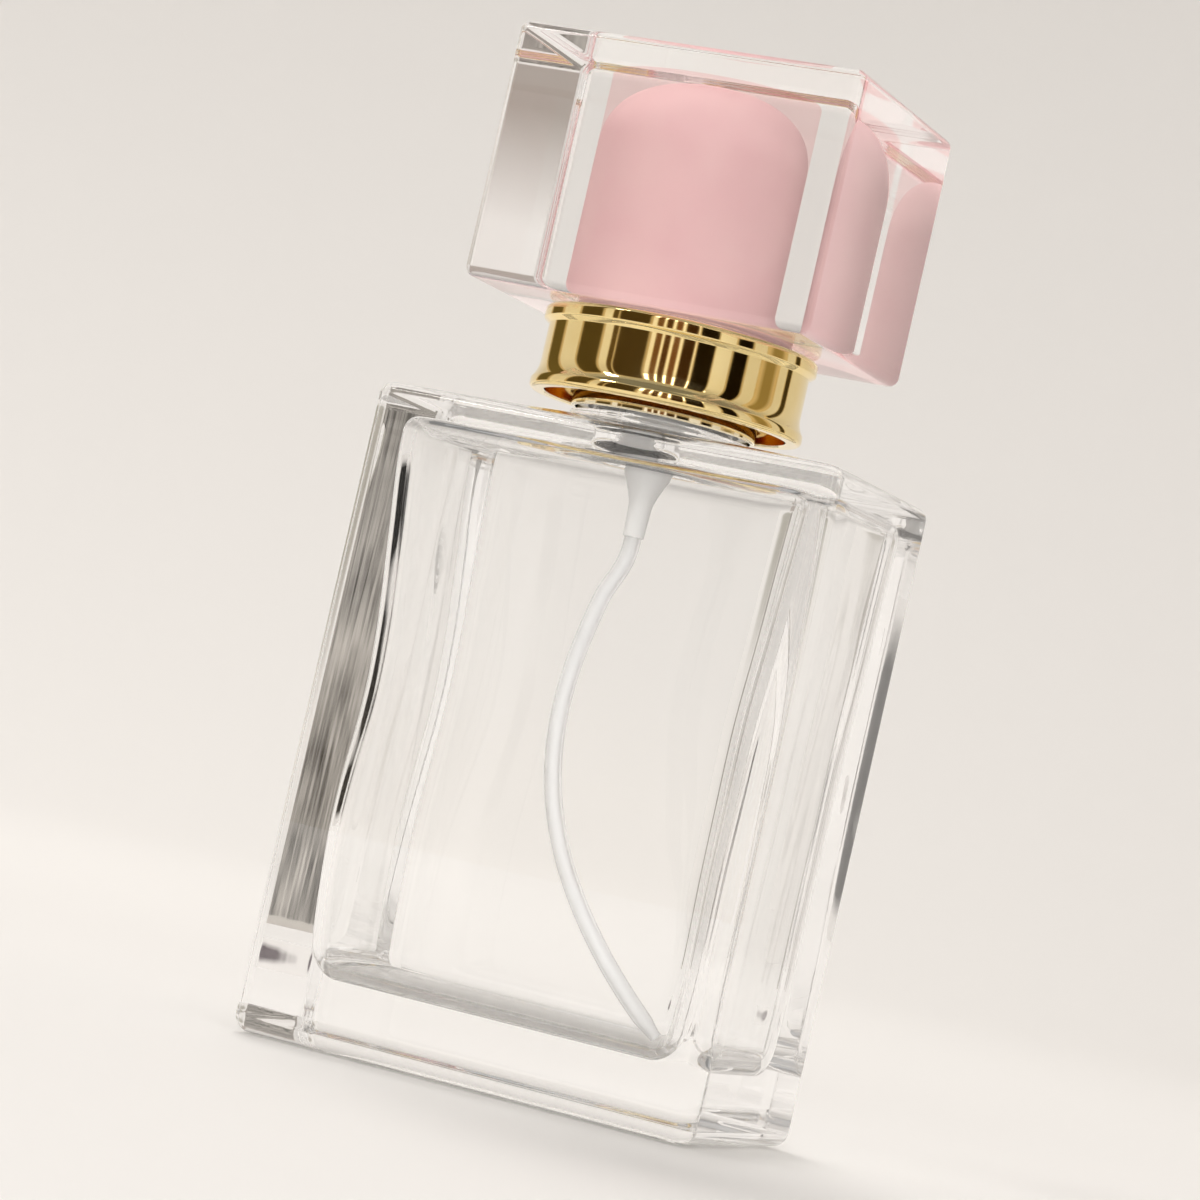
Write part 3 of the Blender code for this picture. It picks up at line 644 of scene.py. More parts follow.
class Workshop:
    """Makes meshes by lofting, turning and sweeping."""

    SHARP = math.radians(40)
    HOLE_SIDES = 48

    @staticmethod
    def meshed(name: str, form: bmesh.types.BMesh) -> bpy.types.Mesh:
        """Ends a mesh under construction.

        Args:
            name: the mesh's name.
            form: the mesh under construction, which is freed.

        Returns:
            The mesh.
        """
        mesh = bpy.data.meshes.new(name)
        form.to_mesh(mesh)
        form.free()
        return mesh

    @staticmethod
    def placed(name: str, data: bpy.types.ID) -> bpy.types.Object:
        """Puts a mesh, a lamp or a camera into the scene.

        Args:
            name: the object's name.
            data: what it shows.

        Returns:
            The object.
        """
        made = bpy.data.objects.new(name, data)
        bpy.context.scene.collection.objects.link(made)
        return made

    @classmethod
    def finished(cls, name: str, form: bmesh.types.BMesh, flats: bool = False) -> bpy.types.Object:
        """Turns a mesh under construction into a smooth shaded object.

        Args:
            name: the object's name.
            form: the mesh, which is freed.
            flats: whether large flat faces keep flat shading beside rounded edges.

        Returns:
            The object, in the scene.
        """
        bmesh.ops.recalc_face_normals(form, faces=form.faces)
        mesh = cls.meshed(name, form)
        mesh.shade_smooth()
        mesh.set_sharp_from_angle(angle=cls.SHARP)
        made = cls.placed(name, mesh)
        if flats:
            made.modifiers.new("flats", "WEIGHTED_NORMAL").keep_sharp = True
        return made

    @staticmethod
    def bridge(form: bmesh.types.BMesh, rings: Sequence[list[Any]]) -> None:
        """Joins each ring of vertices to the next by a band of faces.

        Args:
            form: the mesh under construction.
            rings: the rings in order, all of one length.
        """
        for first, second in zip(rings, rings[1:]):
            for i in range(len(first)):
                j = (i + 1) % len(first)
                form.faces.new((first[i], first[j], second[j], second[i]))

    @classmethod
    def loft(cls, name: str, sections: Sequence[Loop]) -> bpy.types.Object:
        """Joins outlines of one length into a closed solid.

        Args:
            name: the object's name.
            sections: the outlines in order; the first and the last get a flat face.

        Returns:
            The object.
        """
        form = bmesh.new()
        loops = [[form.verts.new(p) for p in section] for section in sections]
        form.faces.new(reversed(loops[0]))
        cls.bridge(form, loops)
        form.faces.new(loops[-1])
        return cls.finished(name, form, flats=True)

    @staticmethod
    def spun(profile: Profile, steps: int, closed: bool) -> bmesh.types.BMesh:
        """Turns a profile about the axis.

        Args:
            profile: points (radius, height).
            steps: how many facets it has round the axis.
            closed: whether its last point joins its first.

        Returns:
            The mesh under construction.
        """
        form = bmesh.new()
        points = [form.verts.new((radius, 0.0, height)) for radius, height in profile]
        following = points[1:] + (points[:1] if closed else [])
        edges = [form.edges.new(pair) for pair in zip(points, following)]
        bmesh.ops.spin(
            form, geom=points + edges, cent=(0, 0, 0), axis=(0, 0, 1), dvec=(0, 0, 0),
            angle=TURN, steps=steps, use_merge=True,
        )
        bmesh.ops.remove_doubles(form, verts=form.verts, dist=WELD)
        return form

    @classmethod
    def turn(cls, name: str, profile: Profile, steps: int) -> bpy.types.Object:
        """Returns a solid turned from points (radius, height), a ring if they miss the axis."""
        closed = all(radius > WELD for radius, _ in profile)
        return cls.finished(name, cls.spun(profile, steps, closed), flats=True)

    @classmethod
    def sweep(cls, name: str, route: Loop, radius: float, bore: float, sides: int) -> bpy.types.Object:
        """Sweeps a round wire, or a tube if it has a bore, along a route.

        Args:
            name: the object's name.
            route: the points that its centre runs through.
            radius: its outer radius.
            bore: its inner radius, or 0 for a wire.
            sides: how many facets it has round.

        Returns:
            The object.
        """
        form = bmesh.new()
        across = Vector((1.0, 0.0, 0.0))
        walls: list[list[Any]] = [[], []]
        for i, point in enumerate(route):
            ahead = (route[min(i + 1, len(route) - 1)] - route[max(i - 1, 0)]).normalized()
            across = (across - ahead * across.dot(ahead)).normalized()
            beside = ahead.cross(across)
            turns = [TURN * k / sides for k in range(sides)]
            offsets = [across * math.cos(a) + beside * math.sin(a) for a in turns]
            for wall, reach in zip(walls, (radius, bore)):
                if reach:
                    wall.append([form.verts.new(point + offset * reach) for offset in offsets])
        outer, inner = walls
        cls.bridge(form, outer + inner[::-1] + (outer[:1] if bore else []))
        if not bore:
            form.faces.new(reversed(outer[0]))
            form.faces.new(outer[-1])
        return cls.finished(name, form)

    @classmethod
    def bored(cls, piece: bpy.types.Object, diameter: float, start: Vector, end: Vector) -> None:
        """Cuts a round hole through a piece and keeps the cut mesh.

        Args:
            piece: the piece to cut.
            diameter: the hole's diameter.
            start: where the hole starts.
            end: where it ends.
        """
        run = end - start
        radius = diameter / 2
        form = bmesh.new()
        bmesh.ops.create_cone(
            form, cap_ends=True, segments=cls.HOLE_SIDES, radius1=radius, radius2=radius, depth=run.length
        )
        mesh = cls.meshed("hole", form)
        turn = run.to_track_quat("Z", "Y").to_matrix().to_4x4()
        mesh.transform(Matrix.Translation(start + run / 2) @ turn)
        cutter = cls.placed("hole", mesh)
        cut = piece.modifiers.new("hole", "BOOLEAN")
        cut.operation = "DIFFERENCE"
        cut.solver = "EXACT"
        cut.object = cutter
        graph = bpy.context.evaluated_depsgraph_get()
        result = bpy.data.meshes.new_from_object(piece.evaluated_get(graph))
        piece.modifiers.clear()
        piece.data = result
        bpy.data.objects.remove(cutter)
        piece.data.set_sharp_from_angle(angle=cls.SHARP)


@dataclass
class GlassBody:
    """The bottle: thick walls that wander a little inside, a heavy base and a threaded neck."""

    width: float = 48.0 * MM
    depth: float = 29.0 * MM
    height: float = 63.6 * MM
    edge: float = 1.8 * MM
    heel: float = 1.6 * MM
    shoulder: float = 1.2 * MM
    crown: float = 0.8 * MM
    stand: float = 3.0 * MM
    recess: float = 0.5 * MM
    floor: float = 6.6 * MM
    roof: float = 61.0 * MM
    # A course gives sizes at heights, both in millimetres.
    front_wall: Course = ((6.6, 4.2), (20, 3.7), (38, 3.2), (50, 2.7), (61, 2.4))
    left_wall: Course = (
        (6.6, 5.2), (12, 4.4), (21, 3.8), (33, 4.2), (41, 3.8), (49, 2.8), (57, 1.9), (61, 1.8),
    )
    right_wall: Course = ((6.6, 4.4), (14, 4.1), (30, 3.9), (46, 3.2), (61, 2.2))
    inner_edge: Course = ((6.6, 2.8), (20, 3.0), (40, 3.8), (61, 4.4))
    back_edge: float = 3.6 * MM
    least_outer_edge: float = 0.2 * MM
    least_inner_edge: float = 0.4 * MM
    floor_radius: float = 3.0 * MM
    roof_radius: float = 1.5 * MM
    land_radius: float = 9.1 * MM
    land_top: float = 65.2 * MM
    land_bevel: float = 0.25 * MM
    neck_root: float = 0.6 * MM
    neck_blend: float = 0.3 * MM
    finish_radius: float = 7.2 * MM
    rim: float = 75.0 * MM
    rim_radius: float = 0.5 * MM
    bore: float = 4.4 * MM
    mouth: float = 1.0 * MM
    thread_pitch: float = 2.12 * MM
    thread_depth: float = 0.45 * MM
    thread_sunk: float = 0.55
    thread_run_out: float = 1.0 * MM
    crest_width: float = 0.1
    wander: float = 0.1 * MM
    # A wave has its length, or its count round the cavity, then its pace and its share.
    wander_waves: Waves = ((41 * MM, 1.0, 1.0), (17 * MM, 2.3, 0.4))
    wander_starts: tuple[float, ...] = (0.4, 2.6, 4.1, 5.5)
    lean: Span = (1.5 * MM, 2.6 * MM)
    ridge: float = 0.015 * MM
    ridge_waves: Waves = ((17, 1.0, 1.0), (29, -1.7, 0.6))
    ridge_drift: float = 14 * MM
    ridge_on_front: float = 0.1
    steps: int = 6
    crown_steps: int = 8
    levels: int = 56
    outliner: Outliner = Outliner()

    @property
    def neck(self) -> float:
        """The neck's radius between the turns of its thread."""
        return self.finish_radius - self.thread_sunk * self.thread_depth

    def threaded(self, height: float) -> Loop:
        """Draws the neck's screw thread at a height.

        Args:
            height: how high the outline lies.

        Returns:
            The outline, whose radius swells where the thread passes.
        """
        low, high = self.land_top + self.thread_run_out, self.rim - self.thread_run_out
        fade = bow((height - low) / self.thread_run_out) * bow((high - height) / self.thread_run_out)
        points = []
        for angle in self.outliner.angles():
            turns = (height - low) / self.thread_pitch - angle / TURN
            crest = max(0.0, math.cos(TURN * turns) + self.crest_width) / (1 + self.crest_width)
            radius = self.neck + self.thread_depth * fade * crest
            points.append(Vector((radius * math.cos(angle), radius * math.sin(angle), height)))
        return points

    def outside(self) -> list[Loop]:
        """Draws the outside, from the recess under the base, up the sides and the thread to the rim.

        Returns:
            The outlines in order.
        """
        stand, brow = self.heel + self.stand, self.height - self.shoulder
        turns = [(stand + self.recess, self.recess), (stand, 0.0)]
        turns += arc((self.heel, self.heel), self.heel, 270, 180, self.steps)
        turns += arc((self.shoulder, brow), self.shoulder, 180, 90, self.steps)
        sections = self.outliner.slabs(self.width, self.depth, self.edge, self.least_outer_edge, turns)
        root = self.outliner.circle(self.land_radius + self.neck_root, 0.0)
        top = self.height + self.crown
        sections += self.outliner.between(sections[-1], root, self.crown_steps, self.height, top)
        fillet = (self.land_radius + self.neck_root, top + self.neck_root)
        bevel, blend, neck = self.land_bevel, self.neck_blend, self.neck
        turns = arc(fillet, self.neck_root, 270, 180, self.steps)
        turns += arc((self.land_radius - bevel, self.land_top - bevel), bevel, 0, 90, self.steps // 2)
        turns += [(neck + blend, self.land_top), (neck, self.land_top + blend)]
        sections += self.outliner.circles(turns)
        start, end = self.land_top + 2 * blend, self.rim - self.rim_radius - blend
        sections += [self.threaded(start + (end - start) * i / self.levels) for i in range(self.levels + 1)]
        lip = arc((neck - self.rim_radius, self.rim - self.rim_radius), self.rim_radius, 0, 90, self.steps)
        return sections + self.outliner.circles(lip)

    def rising(self, height: float) -> float:
        """Returns how far up the cavity a height is, from 0 at its floor to 1 at its roof."""
        return (height - self.floor) / (self.roof - self.floor)

    def between_ends(self, height: float) -> float:
        """Returns 1 half way up the cavity, easing to 0 at its floor and its roof."""
        share = self.rising(height)
        return bow(4 * share * (1 - share))

    def wall(self, course: Course, height: float, turn: float) -> float:
        """Finds how thick a side wall is.

        Args:
            course: the wall's thickness at rising heights, in millimetres.
            height: where it is measured.
            turn: which side, as a turn in radians, so that the sides wander apart.

        Returns:
            The thickness at that height.
        """
        thick = along(course, height / MM) * MM
        waves = [part * math.sin(TURN * height / run + pace * turn) for run, pace, part in self.wander_waves]
        return thick + self.wander * self.between_ends(height) * sum(waves)

    def hollow(self, inset: float, height: float) -> Loop:
        """Draws the cavity's side at a height.

        Args:
            inset: how far it is drawn in.
            height: how high it lies.

        Returns:
            The outline, with its left wall leaning in towards the back.
        """
        sides = zip((self.left_wall, self.right_wall, self.front_wall, self.front_wall), self.wander_starts)
        left, right, front, back = (self.wall(course, height, turn) + inset for course, turn in sides)
        low = Vector((left - self.width / 2, front - self.depth / 2))
        high = Vector((self.width / 2 - right, self.depth / 2 - back))
        edge = along(self.inner_edge, height / MM) * MM
        radii = [max(radius - inset, self.least_inner_edge) for radius in (edge, edge + self.back_edge)]
        loop = self.outliner.box(low, high, *radii, height)
        lean = self.lean[0] + (self.lean[1] - self.lean[0]) * self.rising(height)
        for point in loop:
            backward = (point.y - low.y) / (high.y - low.y)
            point.x += lean * backward * max(point.x / low.x, 0.0)
        return self.ridged(loop)

    def ridged(self, loop: Loop) -> Loop:
        """Adds the faint upright ridges that blowing leaves on the inside, strongest on the narrow sides.

        Args:
            loop: the cavity's even outline.

        Returns:
            The outline with ridges.
        """
        height = loop[0].z
        tall = self.ridge * self.between_ends(height)
        drift = height / self.ridge_drift
        following = loop[1:] + loop[:1]
        whole = sum((b - a).length for a, b in zip(loop, following))
        run, ridged = 0.0, []
        for before, point, after in zip(loop[-1:] + loop[:-1], loop, following):
            ahead = (after - before).normalized()
            outward = Vector((ahead.y, -ahead.x, 0.0))
            turn = TURN * run / whole
            waves = [part * math.sin(count * turn + pace * drift) for count, pace, part in self.ridge_waves]
            share = self.ridge_on_front + (1 - self.ridge_on_front) * abs(outward.x)
            ridged.append(point + outward * tall * share * sum(waves))
            run += (after - point).length
        return ridged

    def inside(self) -> list[Loop]:
        """Draws the inside, from the rim, down the bore and the walls to the cavity's floor.

        Returns:
            The outlines in order.
        """
        ceiling = self.roof + self.crown
        lip, curve = self.rim_radius, self.roof_radius
        turns = arc((self.bore + lip, self.rim - lip), lip, 90, 180, self.steps)
        turns += arc((self.bore + self.mouth, ceiling + self.mouth), self.mouth, 180, 270, self.steps)
        sections = self.outliner.circles(turns)
        edge = self.hollow(curve, self.roof)
        sections += self.outliner.between(sections[-1], edge, self.crown_steps, ceiling, self.roof)
        start, end = self.roof - curve, self.floor + self.floor_radius
        turns = arc((curve, start), curve, 90, 180, self.steps)
        turns += [(0.0, start + (end - start) * i / self.levels) for i in range(1, self.levels)]
        turns += arc((self.floor_radius, end), self.floor_radius, 180, 270, self.steps + 2)
        return sections + [self.hollow(inset, height) for inset, height in turns]

    def build(self, wardrobe: Wardrobe, finishes: Finishes) -> None:
        """Makes the bottle and puts it in its node's place."""
        body = Workshop.loft("bottle_glass", self.outside() + self.inside())
        wardrobe.fit(body, "glass_bottle", finishes.glass, Body.BOTTLE)


@dataclass
class CollarSet:
    """The gold ring, the gold skin under it and the screw ferrule inside."""

    radius: float = 13.5 * MM
    waist: float = 12.9 * MM
    base: float = 66.4 * MM
    top: float = 74.6 * MM
    bore: float = 9.4 * MM
    sleeve: float = 10.1 * MM
    sleeve_base: float = 68.4 * MM
    hollow: float = 12.0 * MM
    web: float = 73.7 * MM
    shell_radius: float = 9.1 * MM
    shell_wall: float = 0.4 * MM
    shell_base: float = 65.6 * MM
    shell_top: float = 79.2 * MM
    shell_opening: float = 6.5 * MM
    bead: float = 0.45 * MM
    lip_turn: float = 0.2 * MM
    lip_drop: float = 1.2 * MM
    lip_angle: float = -55.0
    waist_drop: float = 1.8 * MM
    waist_ease: float = 0.04 * MM
    cove: float = 2.0 * MM
    cove_foot: float = 0.95 * MM
    cove_power: float = 2.4
    cove_steps: int = 8
    soft_edge: float = 0.15 * MM
    steps: int = 6
    soft_steps: int = 3
    curl_steps: int = 5
    ring_facets: int = 144
    shell_facets: int = 128

    def ring_profile(self) -> Profile:
        """Draws the ring's section: a rounded upper lip, a straight waist and a cove that runs to the foot.

        Returns:
            Its points (radius, height).
        """
        bead, turn, ease, soft = self.bead, self.lip_turn, self.waist_ease, self.soft_edge
        lip, waist, foot = self.top - self.lip_drop, self.top - self.waist_drop, self.base + self.cove_foot
        profile = [(self.bore, self.top)]
        profile += arc((self.radius - bead, self.top - bead), bead, 90, 0, self.steps)
        profile += arc((self.radius - turn, lip), turn, 0, self.lip_angle, self.soft_steps)
        profile += [(self.waist + ease, waist + 2 * ease), (self.waist, waist)]
        for i in range(self.cove_steps + 1):
            share = i / self.cove_steps
            flare = (self.radius - self.waist) * share**self.cove_power
            profile.append((self.waist + flare, foot + self.cove * (1 - share)))
        profile += arc((self.radius - bead, self.base + bead), bead, 0, -90, self.steps)
        profile += [(self.hollow + soft, self.base), (self.hollow, self.base + soft)]
        profile += [(self.hollow, self.web), (self.sleeve, self.web)]
        return profile + [(self.sleeve, self.sleeve_base), (self.bore, self.sleeve_base)]

    def shell_profile(self) -> Profile:
        """Draws the skin's section: a drawn cup with its top open for the pump.

        Returns:
            Its points (radius, height).
        """
        wall, soft, opening = self.shell_wall, self.soft_edge, self.shell_opening
        inner, ceiling = self.shell_radius - wall, self.shell_top - wall
        curl = arc((inner, ceiling), wall, 90, 0, self.curl_steps)
        foot = arc((self.shell_radius - soft, self.shell_base + soft), soft, 0, -90, self.soft_steps)
        inside = [(inner, self.shell_base), (inner, ceiling), (opening, ceiling)]
        return [(opening, self.shell_top), *curl, *foot, *inside]

    def build(self, wardrobe: Wardrobe, finishes: Finishes) -> None:
        """Makes the ring and the skin, and dresses the ferrule.

        Args:
            wardrobe: dresses the pieces.
            finishes: the bottle's finishes.
        """
        ring = Workshop.turn("collar_ring_gold", self.ring_profile(), self.ring_facets)
        # The ring and the skin take gold painted paler inside the groove, a painted stand-in for softer
        # bounced light.
        wardrobe.fit(ring, "collar_ring", finishes.painted_pale_gold, Body.COLLAR)
        shell = Workshop.turn("ferrule_skin_gold", self.shell_profile(), self.shell_facets)
        wardrobe.fit(shell, "ferrule_shell", finishes.painted_pale_gold, Body.COLLAR)
        wardrobe.dress("screw_ferrule", finishes.natural)


@dataclass
class Pump:
    """The pump below the ferrule: housing, tail, bent dip tube, return spring and seals."""

    flange: float = 7.2 * MM
    body: float = 3.8 * MM
    barrel: float = 2.35 * MM
    tail: float = 1.02 * MM
    gland: float = 3.2 * MM
    cylinder: float = 2.75 * MM
    well: float = 1.9 * MM
    chamber: float = 1.1 * MM
    lip: float = 0.85 * MM
    inlet: float = 0.6 * MM
    socket: float = 0.86 * MM
    flange_top: float = 77.3 * MM
    flange_base: float = 76.4 * MM
    ledge: float = 74.3 * MM
    cylinder_floor: float = 65.2 * MM
    cone_top: float = 64.35 * MM
    cone_end: float = 62.9 * MM
    spring_seat: float = 61.4 * MM
    valve_top: float = 61.1 * MM
    valve_floor: float = 58.4 * MM
    socket_top: float = 57.7 * MM
    neck_end: float = 56.9 * MM
    tail_end: float = 54.2 * MM
    tube_radius: float = 0.85 * MM
    tube_bore: float = 0.5 * MM
    tube_end: float = 8.2 * MM
    tube_reach: tuple[float, float] = (17.2 * MM, -7.7 * MM)
    tube_bow: float = 2.6 * MM
    tube_lead: float = 0.14
    spring_radius: float = 1.4 * MM
    spring_wire: float = 0.2 * MM
    spring_span: Span = (61.9 * MM, 69.0 * MM)
    spring_turns: float = 5.5
    stroke: float = 4.0 * MM
    tail_flare: float = 0.1 * MM
    tube_stop: float = 0.3 * MM
    neck_steps: int = 10
    tube_steps: int = 120
    spring_steps: int = 28
    facets: int = 72
    tube_sides: int = 24
    spring_sides: int = 12

    def housing_profile(self) -> Profile:
        """Draws the housing's section, from its rim round the outside to the inside of its tail and up.

        Returns:
            Its points (radius, height).
        """
        outside = [
            (self.gland, self.flange_top), (self.flange, self.flange_top), (self.flange, self.flange_base),
            (self.body, self.flange_base), (self.body, self.cone_top), (self.barrel, self.cone_end),
            (self.barrel, self.valve_top),
        ]
        narrowing, fall = self.tail + self.tail_flare - self.barrel, self.valve_top - self.neck_end
        for i in range(1, self.neck_steps + 1):
            share = i / self.neck_steps
            outside.append((self.barrel + narrowing * bow(share), self.valve_top - fall * share))
        inside = [
            (self.socket, self.tail_end), (self.socket, self.socket_top), (self.inlet, self.socket_top),
            (self.inlet, self.valve_floor), (self.chamber, self.valve_floor), (self.chamber, self.valve_top),
            (self.lip, self.valve_top), (self.lip, self.spring_seat), (self.well, self.spring_seat),
            (self.well, self.cone_top), (self.cylinder, self.cylinder_floor), (self.cylinder, self.ledge),
            (self.gland, self.ledge),
        ]
        return [*outside, (self.tail, self.tail_end), *inside]

    def tube_route(self) -> Loop:
        """Draws the dip tube's middle, from its socket to the front right corner of the floor.

        Returns:
            Its points.
        """
        route = [Vector((0.0, 0.0, self.socket_top - self.tube_stop))]
        fall = self.tail_end - self.tube_end
        for i in range(self.tube_steps + 1):
            share = i / self.tube_steps
            ease = bow(share / self.tube_lead)
            x = self.tube_reach[0] * share**3 - self.tube_bow * math.sin(math.pi * share)
            y = self.tube_reach[1] * math.sin(math.pi * share / 2)
            route.append(Vector((ease * x, ease * y, self.tail_end - fall * share)))
        return route

    def spring_route(self) -> Loop:
        """Draws the return spring's middle, from its foot up.

        Returns:
            Its points.
        """
        low, high = self.spring_span
        count = round(self.spring_turns * self.spring_steps)
        route = []
        for i in range(count + 1):
            angle = TURN * i / self.spring_steps
            point = Vector((math.cos(angle), math.sin(angle), 0.0)) * self.spring_radius
            point.z = low + (high - low) * i / count
            route.append(point)
        return route

    def build(self, wardrobe: Wardrobe, finishes: Finishes) -> None:
        """Makes the housing, the tube and the spring, and dresses the seals, the guide and the ball.

        Args:
            wardrobe: dresses the pieces.
            finishes: the bottle's finishes.
        """
        housing = Workshop.turn("pump_housing_moulded", self.housing_profile(), self.facets)
        wardrobe.fit(housing, "pump_housing", finishes.natural, Body.PUMP)
        tube = Workshop.sweep(
            "dip_tube_bent", self.tube_route(), self.tube_radius, self.tube_bore, self.tube_sides
        )
        wardrobe.fit(tube, "dip_tube", finishes.tube, Body.PUMP)
        spring = Workshop.sweep(
            "return_spring_wound", self.spring_route(), self.spring_wire, 0.0, self.spring_sides
        )
        wardrobe.fit(spring, "main_spring", finishes.steel, Body.PUMP)
        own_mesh(spring)
        wardrobe.dress("stem_turret", finishes.natural)
        for node in ("neck_gasket", "stem_seal"):
            wardrobe.dress(node, finishes.seal)
        wardrobe.dress("inlet_ball", finishes.steel)


@dataclass
class SprayButton:
    """The button under the cap: a dished gold cover over a moulded core, with its spray insert."""

    radius: float = 6.4 * MM
    wall: float = 0.4 * MM
    base: float = 84.0 * MM
    top: float = 92.2 * MM
    edge: float = 0.8 * MM
    dish: float = 0.3 * MM
    spray_axis: float = 88.4 * MM
    hole: float = 4.5 * MM
    steps: int = 6
    dish_steps: int = 8
    facets: int = 112

    def cover_profile(self) -> Profile:
        """Draws the cover's section, with its top dished for a fingertip.

        Returns:
            Its points (radius, height).
        """
        inner, rim = self.radius - self.wall, self.radius - self.edge
        ceiling = self.top - self.dish - self.wall
        shares = [i / self.dish_steps for i in range(self.dish_steps)]
        dished = [(rim * share, self.top - self.dish * math.cos(math.pi / 2 * share)) for share in shares]
        edge = arc((rim, self.top - self.edge), self.edge, 90, 0, self.steps)
        inside = [(inner, self.base), (inner, ceiling), (0.0, ceiling)]
        return [*dished, *edge, (self.radius, self.base), *inside]

    def build(self, wardrobe: Wardrobe, finishes: Finishes) -> None:
        """Makes the cover and dresses the core, the insert, the stem and the piston.

        Args:
            wardrobe: dresses the pieces.
            finishes: the bottle's finishes.
        """
        cover = Workshop.turn("button_cover_gold", self.cover_profile(), self.facets)
        front = Vector((0.0, -2 * self.radius, self.spray_axis))
        Workshop.bored(cover, self.hole, front, Vector((0.0, 0.0, self.spray_axis)))
        wardrobe.fit(cover, "button_shell", finishes.gold, Body.PLUNGER)
        for node in ("button_core", "nozzle_insert", "stem", "piston"):
            wardrobe.dress(node, finishes.natural)


@dataclass
class Overcap:
    """The clear block with its bonded pink liner."""

    width: float = 35.6 * MM
    depth: float = 29.0 * MM
    base: float = 74.9 * MM
    top: float = 100.1 * MM
    edge: float = 1.0 * MM
    liner_radius: float = 10.6 * MM
    liner_bore: float = 9.4 * MM
    liner_top: float = 98.0 * MM
    liner_roof: float = 96.8 * MM
    liner_edge: float = 0.5 * MM
    jacket: float = 0.02 * MM
    dome: float = 7.2 * MM
    fullness: float = 2.3
    bond: float = 0.03 * MM
    least_edge: float = 0.15 * MM
    steps: int = 6
    dome_steps: int = 24
    facets: int = 144
    outliner: Outliner = Outliner()

    def block_sections(self) -> list[Loop]:
        """Draws the block, from the end of its bore, down and round to its top.

        Returns:
            The outlines in order.
        """
        sunk = self.jacket + self.bond
        bore = self.liner_radius - sunk
        bored = [*self.domed(bore, self.liner_top - sunk)[1:], (bore, self.base)]
        turns = arc((self.edge, self.base + self.edge), self.edge, 270, 180, self.steps)
        turns += arc((self.edge, self.top - self.edge), self.edge, 180, 90, self.steps)
        block = self.outliner.slabs(self.width, self.depth, self.edge, self.least_edge, turns)
        return self.outliner.circles(bored) + block

    def domed(self, radius: float, apex: float) -> Profile:
        """Draws half of a dome's outline.

        Args:
            radius: how wide it is at its foot.
            apex: how high it reaches.

        Returns:
            Points (radius, height) from the axis to the foot.
        """
        quarter = arc((0.0, 0.0), 1.0, 90, 0, self.dome_steps)
        power = 2 / self.fullness
        points = [(max(across, 0.0) ** power, max(up, 0.0) ** power) for across, up in quarter]
        return [(radius * across, apex - self.dome * (1 - up)) for across, up in points]

    def jacket_profile(self) -> Profile:
        """Draws the section of the liner's tinted outer shot, a skin that squares off the dome's corner.

        Returns:
            Its points (radius, height).
        """
        edge = self.liner_edge
        rim = arc((self.liner_radius - edge, self.liner_top - edge), edge, 90, 0, self.steps)
        sunk = self.jacket + self.bond
        inner = self.domed(self.liner_radius - sunk, self.liner_top - sunk)
        foot = [(self.liner_radius, self.base), (inner[-1][0], self.base)]
        return [(0.0, self.liner_top), *rim, *foot, *reversed(inner)]

    def liner_profile(self) -> Profile:
        """Draws the section of the liner's solid inner shot: a domed cup, open below.

        Returns:
            Its points (radius, height).
        """
        outer = self.domed(self.liner_radius - self.jacket, self.liner_top - self.jacket)
        inner = self.domed(self.liner_bore, self.liner_roof)
        return [*outer, (outer[-1][0], self.base), (inner[-1][0], self.base), *reversed(inner)]

    def build(self, wardrobe: Wardrobe, finishes: Finishes) -> None:
        """Makes the block and the liner.

        Args:
            wardrobe: dresses the pieces.
            finishes: the bottle's finishes.
        """
        block = Workshop.loft("cap_block_clear", self.block_sections())
        wardrobe.fit(block, "cap_block", finishes.acrylic, Body.CAP)
        liner = Workshop.turn("cap_liner_pink", self.liner_profile(), self.facets)
        wardrobe.fit(liner, "cap_liner", finishes.pink, Body.CAP)
        jacket = Workshop.turn("cap_liner_jacket", self.jacket_profile(), self.facets)
        wardrobe.fit(jacket, "cap_liner", finishes.jacket, Body.CAP)


class Ray(Enum):
    """Rays by what they left: a mirroring surface or a clear one."""

    MIRRORED = "glossy"
    REFRACTED = "transmission"


@dataclass(frozen=True)
class Lamp:
    """A soft box: where it stands, what it faces, its size, power and colour, and which rays miss it."""

    name: str
    place: tuple[float, float, float]
    target: tuple[float, float, float]
    size: tuple[float, float]
    power: float
    colour: Colour = (1.0, 1.0, 1.0)
    hidden: tuple[Ray, ...] = ()

    def light(self) -> None:
        """Adds the lamp to the scene."""
        data = bpy.data.lights.new(self.name, "AREA")
        data.shape = "RECTANGLE"
        data.size, data.size_y = self.size
        data.energy = self.power
        data.color = self.colour
        lamp = Workshop.placed(self.name, data)
        lamp.location = self.place
        run = Vector(self.target) - Vector(self.place)
        lamp.rotation_euler = run.to_track_quat("-Z", "Y").to_euler()
        for ray in self.hidden:
            setattr(lamp, f"visible_{ray.value}", False)


